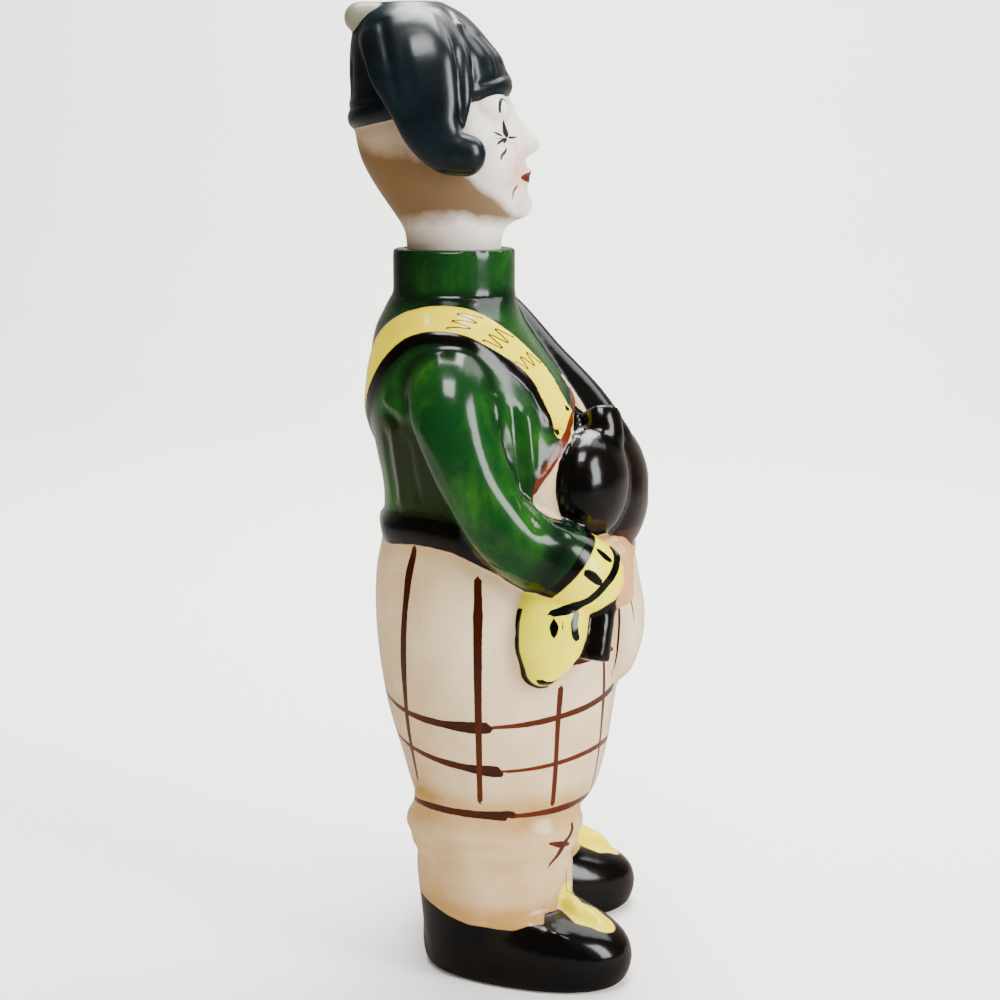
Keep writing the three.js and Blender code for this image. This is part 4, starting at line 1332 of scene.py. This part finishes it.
def bottleGlaze():
    paint = {k: paintColour(v) for k, v in bottleColours.items()}
    material, tree, coords, wobble = startGlaze("painted_bottle_glaze")
    poolShade = field(tree, "pooling")
    cloudy = noise(tree, coords, 22, 4, 0.6)
    _, backward, up = addNode(tree, "ShaderNodeSeparateXYZ", {0: coords}).outputs
    # A random warm tint, with painted shade where forms meet
    warmTintAndShade = calc(tree, "ADD", calc(tree, "MULTIPLY", ramp(tree, cloudy, 0.35, 0.75), 0.35),
                calc(tree, "MULTIPLY", poolShade, 0.38), clamp=True)
    # Painted shade: the cream is warmer and darker low down and behind; these limits are in metres.
    shadeLowAndBehind = calc(tree, "ADD", ramp(tree, up, 0.12, 0.025, 0.0, 0.55),
                 ramp(tree, backward, 0.004, 0.044, 0.0, 0.5))
    warmTintAndShade = calc(tree, "ADD", warmTintAndShade, shadeLowAndBehind, clamp=True)
    colour = over(tree, warmTintAndShade, paint["cream"], paint["creamWarmAndShade"])
    # Jacket
    streaks = addNode(tree, "ShaderNodeMapping", {"Vector": coords, "Scale": (1, 1, 0.3)}).outputs[0]
    brushed = noise(tree, streaks, 5, 4, 0.6)
    green = over(tree, ramp(tree, brushed, 0.3, 0.72), paint["green"], paint["greenBright"])
    green = over(tree, ramp(tree, cloudy, 0.62, 0.35), paint["green"], green)
    # Painted shade: the green darkens where forms meet, at the collar's foot and back, and beside the belt
    deep = calc(tree, "MAXIMUM", ramp(tree, poolShade, 0.3, 1.0), field(tree, "shade"))
    deep = calc(tree, "MULTIPLY", deep, ramp(tree, brushed, 0.25, 0.5, 0.7, 1.0))
    green = over(tree, deep, green, paint["greenShade"])
    # Painted shade: dark olive on the jacket's back behind the arm
    shadedFlank = edgeOf(tree, "flankArea", wobble, soft=1.0)
    green = over(tree, calc(tree, "MULTIPLY", shadedFlank, 0.85), green, paint["oliveShade"])
    jacketCover = edgeOf(tree, "jacketArea", wobble, 0.5)
    colour = over(tree, jacketCover, colour, green)
    # Yellow belt, cuffs and tongues
    thin = calc(tree, "MULTIPLY", ramp(tree, cloudy, 0.5, 0.8), 0.4)
    yellow = over(tree, thin, paint["yellow"], paint["yellowDeep"])
    rim = ramp(tree, field(tree, "yellowArea"), 1.6, 0.0, 0.0, 0.55)
    # Painted shade where forms meet deepens the yellow as well
    rim = calc(tree, "MAXIMUM", rim, ramp(tree, poolShade, 0.5, 1.0, 0.0, 0.5))
    yellow = over(tree, rim, yellow, paint["yellowDeep"])
    yellowCover = edgeOf(tree, "yellowArea", wobble, 0.4)
    colour = over(tree, yellowCover, colour, yellow)
    # Thin wavy lines across the front of the belt
    place = fieldParts(tree, "beltPlace")
    squiggle = None
    rate = belt["squiggleRate"]
    for middle, size in belt["squiggles"]:
        swing = calc(tree, "SINE", calc(tree, "MULTIPLY", place[1], rate))
        drift = calc(tree, "MULTIPLY", place[1], 0.35)
        lead = calc(tree, "ADD", calc(tree, "MULTIPLY", swing, size), calc(tree, "ADD", drift, middle))
        steep = calc(tree, "COSINE", calc(tree, "MULTIPLY", place[1], rate))
        steep = calc(tree, "MULTIPLY", calc(tree, "MULTIPLY", steep, steep), (size * rate) ** 2)
        slant = calc(tree, "SQRT", calc(tree, "ADD", steep, 1.1))
        gap = calc(tree, "DIVIDE", calc(tree, "ABSOLUTE", calc(tree, "SUBTRACT", place[0], lead)), slant)
        line = ramp(tree, gap, 0.34, 0.2)
        squiggle = line if squiggle is None else calc(tree, "MAXIMUM", squiggle, line)
    within = ramp(tree, calc(tree, "ABSOLUTE", place[1]), 4.9, 4.6)
    squiggle = calc(tree, "MULTIPLY", calc(tree, "MULTIPLY", squiggle, within), yellowCover)
    # Black parts
    black = over(tree, ramp(tree, cloudy, 0.45, 0.75), paint["black"], paint["blackBrown"])
    black = over(tree, ramp(tree, backward, -0.040, -0.047, 0.0, 0.8), black, paint["blackBrown"])
    black = over(tree, edgeOf(tree, "stubArea", wobble, 0.3), black, paint["brown"])
    blackCover = edgeOf(tree, "blackArea", wobble, 0.5)
    colour = over(tree, squiggle, colour, paint["black"])
    colour = over(tree, blackCover, colour, black)
    # Hands
    rosy = over(tree, ramp(tree, cloudy, 0.4, 0.7), paint["skin"], paint["creamWarmAndShade"])
    colour = over(tree, edgeOf(tree, "skinArea", wobble, 0.3), colour, rosy)
    # Brush lines
    height = calc(tree, "MULTIPLY", blackCover, 0.3)
    for name in ("firstLines", "secondLines"):
        parts = fieldParts(tree, name)
        cover = lineCover(tree, parts, wobble, 0.5, 1.55)
        thick = ramp(tree, parts[1], 0.3, 1.0)
        brown = over(tree, thick, paint["brownLight"], paint["brown"])
        brown = over(tree, ramp(tree, parts[2], 0.02, 0.08), brown, paint["rust"])
        tone = over(tree, ramp(tree, parts[2], 0.2, 0.9), brown, paint["black"])
        cover = calc(tree, "MULTIPLY", cover, calc(tree, "SUBTRACT", 1.0, blackCover, clamp=True))
        colour = over(tree, cover, colour, tone)
        height = calc(tree, "ADD", height, calc(tree, "MULTIPLY", cover, 0.25))
    # Specks, the unglazed sole and the bare clay inside
    specks = noise(tree, coords, 1.1, 1)
    colour = over(tree, calc(tree, "MULTIPLY", ramp(tree, specks, 0.79, 0.82), 0.5), colour, paint["brown"])
    bare = calc(tree, "MAXIMUM", field(tree, "wallInside"), ramp(tree, up, 0.0006, 0.0002))
    colour = over(tree, bare, colour, paint["clay"])
    roughness = ramp(tree, bare, 0, 1, glaze["bottleRoughness"], glaze["clayRoughness"])
    finishGlaze(tree, coords, colour, height, roughness)
    return material


headColours = {
    "cream": "#efe8de",
    "beigeShade": "#80602f",
    "rose": "#df9c8c",
    "ochre": "#5e3f0c",
    "bonnet": "#040a0f",
    "bonnetBlue": "#0e1a1f",
    "bobble": "#77725f",
    "lips": "#5f1a0e",
    "ink": "#0c0908",
    "inkBrown": "#3a2010",
    "clay": "#cdb894",
}


def headGlaze():
    paint = {k: paintColour(v) for k, v in headColours.items()}
    material, tree, coords, wobble = startGlaze("painted_head_glaze")
    poolShade = field(tree, "pooling")
    cloudy = noise(tree, coords, 18, 4, 0.6)
    axes = addNode(tree, "ShaderNodeSeparateXYZ", {0: coords}).outputs
    patchy = calc(tree, "MULTIPLY", calc(tree, "SUBTRACT", cloudy, 0.5), 9)
    # Painted shade: the back of the head and neck darkens to beige
    behind = calc(tree, "ADD", axes[1], calc(tree, "MULTIPLY", cloudy, 0.01))
    behind = ramp(tree, behind, 0.008, 0.038, 0.0, 0.85)
    colour = over(tree, behind, paint["cream"], paint["beigeShade"])
    ochre = ramp(tree, calc(tree, "ADD", field(tree, "ochreArea"), patchy), -2.5, 3.0, 0.0, 0.95)
    # Painted shade where forms meet, in ochre
    ochre = calc(tree, "MAXIMUM", ochre, calc(tree, "MULTIPLY", poolShade, 0.25))
    colour = over(tree, ochre, colour, paint["ochre"])
    colour = over(tree, calc(tree, "MULTIPLY", field(tree, "blush"), 0.85), colour, paint["rose"])
    lipCover = edgeOf(tree, "lipArea", wobble, 0.2, 0.12)
    colour = over(tree, lipCover, colour, paint["lips"])
    height = calc(tree, "MULTIPLY", lipCover, 0.1)
    parting = calc(tree, "MULTIPLY", ramp(tree, field(tree, "mouthLine"), 0.0, 0.3), lipCover)
    colour = over(tree, parting, colour, paint["ink"])
    for name in ("firstLines", "secondLines"):
        parts = fieldParts(tree, name)
        cover = lineCover(tree, parts, wobble, 0.4, 2.1, 0.14)
        tone = over(tree, parts[2], paint["inkBrown"], paint["ink"])
        colour = over(tree, cover, colour, tone)
    bonnetCover = edgeOf(tree, "bonnetArea", wobble, 0.25, 0.15)
    dark = over(tree, ramp(tree, cloudy, 0.4, 0.7), paint["bonnet"], paint["bonnetBlue"])
    colour = over(tree, bonnetCover, colour, dark)
    colour = over(tree, edgeOf(tree, "bobbleArea", wobble, soft=0.15), colour, paint["bobble"])
    bare = calc(tree, "MAXIMUM", field(tree, "wallInside"), ramp(tree, axes[2], 0.2395, 0.2385))
    colour = over(tree, bare, colour, paint["clay"])
    satin = ramp(tree, bonnetCover, 0, 1, glaze["faceRoughness"], glaze["bonnetRoughness"])
    roughness = calc(tree, "MAXIMUM", satin, calc(tree, "MULTIPLY", bare, glaze["clayRoughness"]))
    finishGlaze(tree, coords, colour, height, roughness)
    return material


def finishPiece(piece, node, material):
    keepInside(piece, node)
    deselectAll()
    piece.select_set(True)
    bpy.context.view_layer.objects.active = piece
    bpy.ops.object.shade_smooth_by_angle(angle=radians(42))
    piece.data.materials.clear()
    piece.data.materials.append(material)
    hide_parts(node)
    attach(piece, "root")


# Studio: a pale floor that curves up behind, soft lights and the camera at the photograph's angle.
studio = {
    "floorColour": "#f2f1ee",
    "floorReach": (-2.2, 1.3),
    "floorBreadth": 6,
    "sweep": [(0.02, 0.16), (0.06, 0.14), (0.10, 0.10), (0.14, 0.06), (0.16, 0.02), (1.5, 0.0)],
    "worldColour": "#f4f4f2",
    "worldStrength": 0.56,
    "flagColour": "#6a6560",  # what the glaze mirrors of the paper and the room
    "cameraHeight": 0.283,
    "cameraDistance": 0.680,
    "azimuth": 274.5,
    "pitch": 10.2,
    "focalPixels": 1974,
    "imagePixels": 1000,
    "sensor": 36,
    "lamps": [  # name, place, size, power and how far behind the figure it aims
        ("keyLamp", (-0.6, -1.05, 0.7), (0.5, 1.0), 28, 0),
        ("topLamp", (-0.55, 0.05, 1.35), (0.45, 0.45), 14, 0),
        ("farLamp", (0.6, -0.6, 1.3), (0.9, 0.9), 12, 0),
        ("paperLamp", (0.7, 0, 1.5), (0.6, 1.6), 75, 1.6),
    ],
    "aimUp": 0.17,
}


def mirrorDarker(tree, colour, socket):  # the glaze mirrors a darker room than the one that is seen
    mirrored = addNode(tree, "ShaderNodeLightPath").outputs["Is Glossy Ray"]
    tree.links.new(over(tree, mirrored, paintColour(colour), paintColour(studio["flagColour"])), socket)


def buildStudio():
    deselectAll()
    bpy.ops.mesh.primitive_plane_add(size=1, enter_editmode=True)
    floor = bpy.context.object
    floor.name = "studioFloor"
    mesh = bmesh.from_edit_mesh(floor.data)
    near, beyond = studio["floorReach"]
    for corner in mesh.verts:
        corner.co = Vector((beyond if corner.co.x > 0 else near, corner.co.y * studio["floorBreadth"], 0))
    far = [e for e in mesh.edges if all(v.co.x > 0 for v in e.verts)]
    bpy.ops.mesh.select_mode(type="EDGE")
    bpy.ops.mesh.select_all(action="DESELECT")
    for edge in far:
        edge.select_set(True)
    for rise, reach in studio["sweep"]:
        bpy.ops.mesh.extrude_region_move(TRANSFORM_OT_translate={"value": (reach, 0, rise)})
    bmesh.update_edit_mesh(floor.data)
    bpy.ops.object.mode_set(mode="OBJECT")
    bpy.ops.object.shade_smooth()
    material = bpy.data.materials.new("studio_paper")
    material.use_nodes = True
    shader = material.node_tree.nodes["Principled BSDF"]
    mirrorDarker(material.node_tree, studio["floorColour"], shader.inputs["Base Color"])
    shader.inputs["Roughness"].default_value = 0.9
    floor.data.materials.append(material)
    world = bpy.data.worlds.new("studioLight")
    world.use_nodes = True
    sky = world.node_tree.nodes["Background"]
    mirrorDarker(world.node_tree, studio["worldColour"], sky.inputs[0])
    sky.inputs[1].default_value = studio["worldStrength"]
    bpy.context.scene.world = world
    for name, place, size, power, aimed in studio["lamps"]:
        bpy.ops.object.light_add(type="AREA", location=place)
        lamp = bpy.context.object
        lamp.name = name
        lamp.data.shape = "RECTANGLE"
        lamp.data.size, lamp.data.size_y = size
        lamp.data.energy = power
        aim = Vector((aimed, 0, studio["aimUp"])) - Vector(place)
        lamp.rotation_euler = aim.to_track_quat("-Z", "Y").to_euler()


def buildCamera():
    azimuth, pitch = radians(studio["azimuth"]), radians(studio["pitch"])
    level = Vector((-sin(azimuth), cos(azimuth), 0))
    stand = -level * studio["cameraDistance"] + Vector((0, 0, studio["cameraHeight"]))
    bpy.ops.object.camera_add(location=stand)
    camera = bpy.context.object
    camera.name = "photoCamera"
    gaze = level * cos(pitch) - Vector((0, 0, sin(pitch)))
    camera.rotation_euler = gaze.to_track_quat("-Z", "Y").to_euler()
    camera.data.sensor_width = studio["sensor"]
    camera.data.lens = studio["focalPixels"] * studio["sensor"] / studio["imagePixels"]
    camera.data.clip_start, camera.data.clip_end = 0.01, 20
    bpy.context.scene.camera = camera


def outerForms(names):  # the forms whose paint shows, without the tools that hollow a piece out
    tools = ("inside", "hollow", "mouth", "seat", "neckBore", "plugBore", "piper")
    return [name for name in names if not name.startswith(tools)]


print("camera and studio")
buildCamera()
buildStudio()
print("bottle: forms, casting and hollow")
bottlePiece = buildBottle()
bottleForms = outerForms(shapes)
print("head: forms, casting and hollow")
headPiece = buildHead()
headForms = [name for name in outerForms(shapes) if name not in bottleForms]
print("painting the bottle")
paintBottle(bottlePiece, bottleForms)
print("painting the head")
paintHead(headPiece, headForms)
print("glazes")
finishPiece(bottlePiece, "bottle", bottleGlaze())
finishPiece(headPiece, "head_stopper", headGlaze())
for piece in (bottlePiece, headPiece):
    print(piece.name, "has", sum(len(p.vertices) - 2 for p in piece.data.polygons), "triangles")
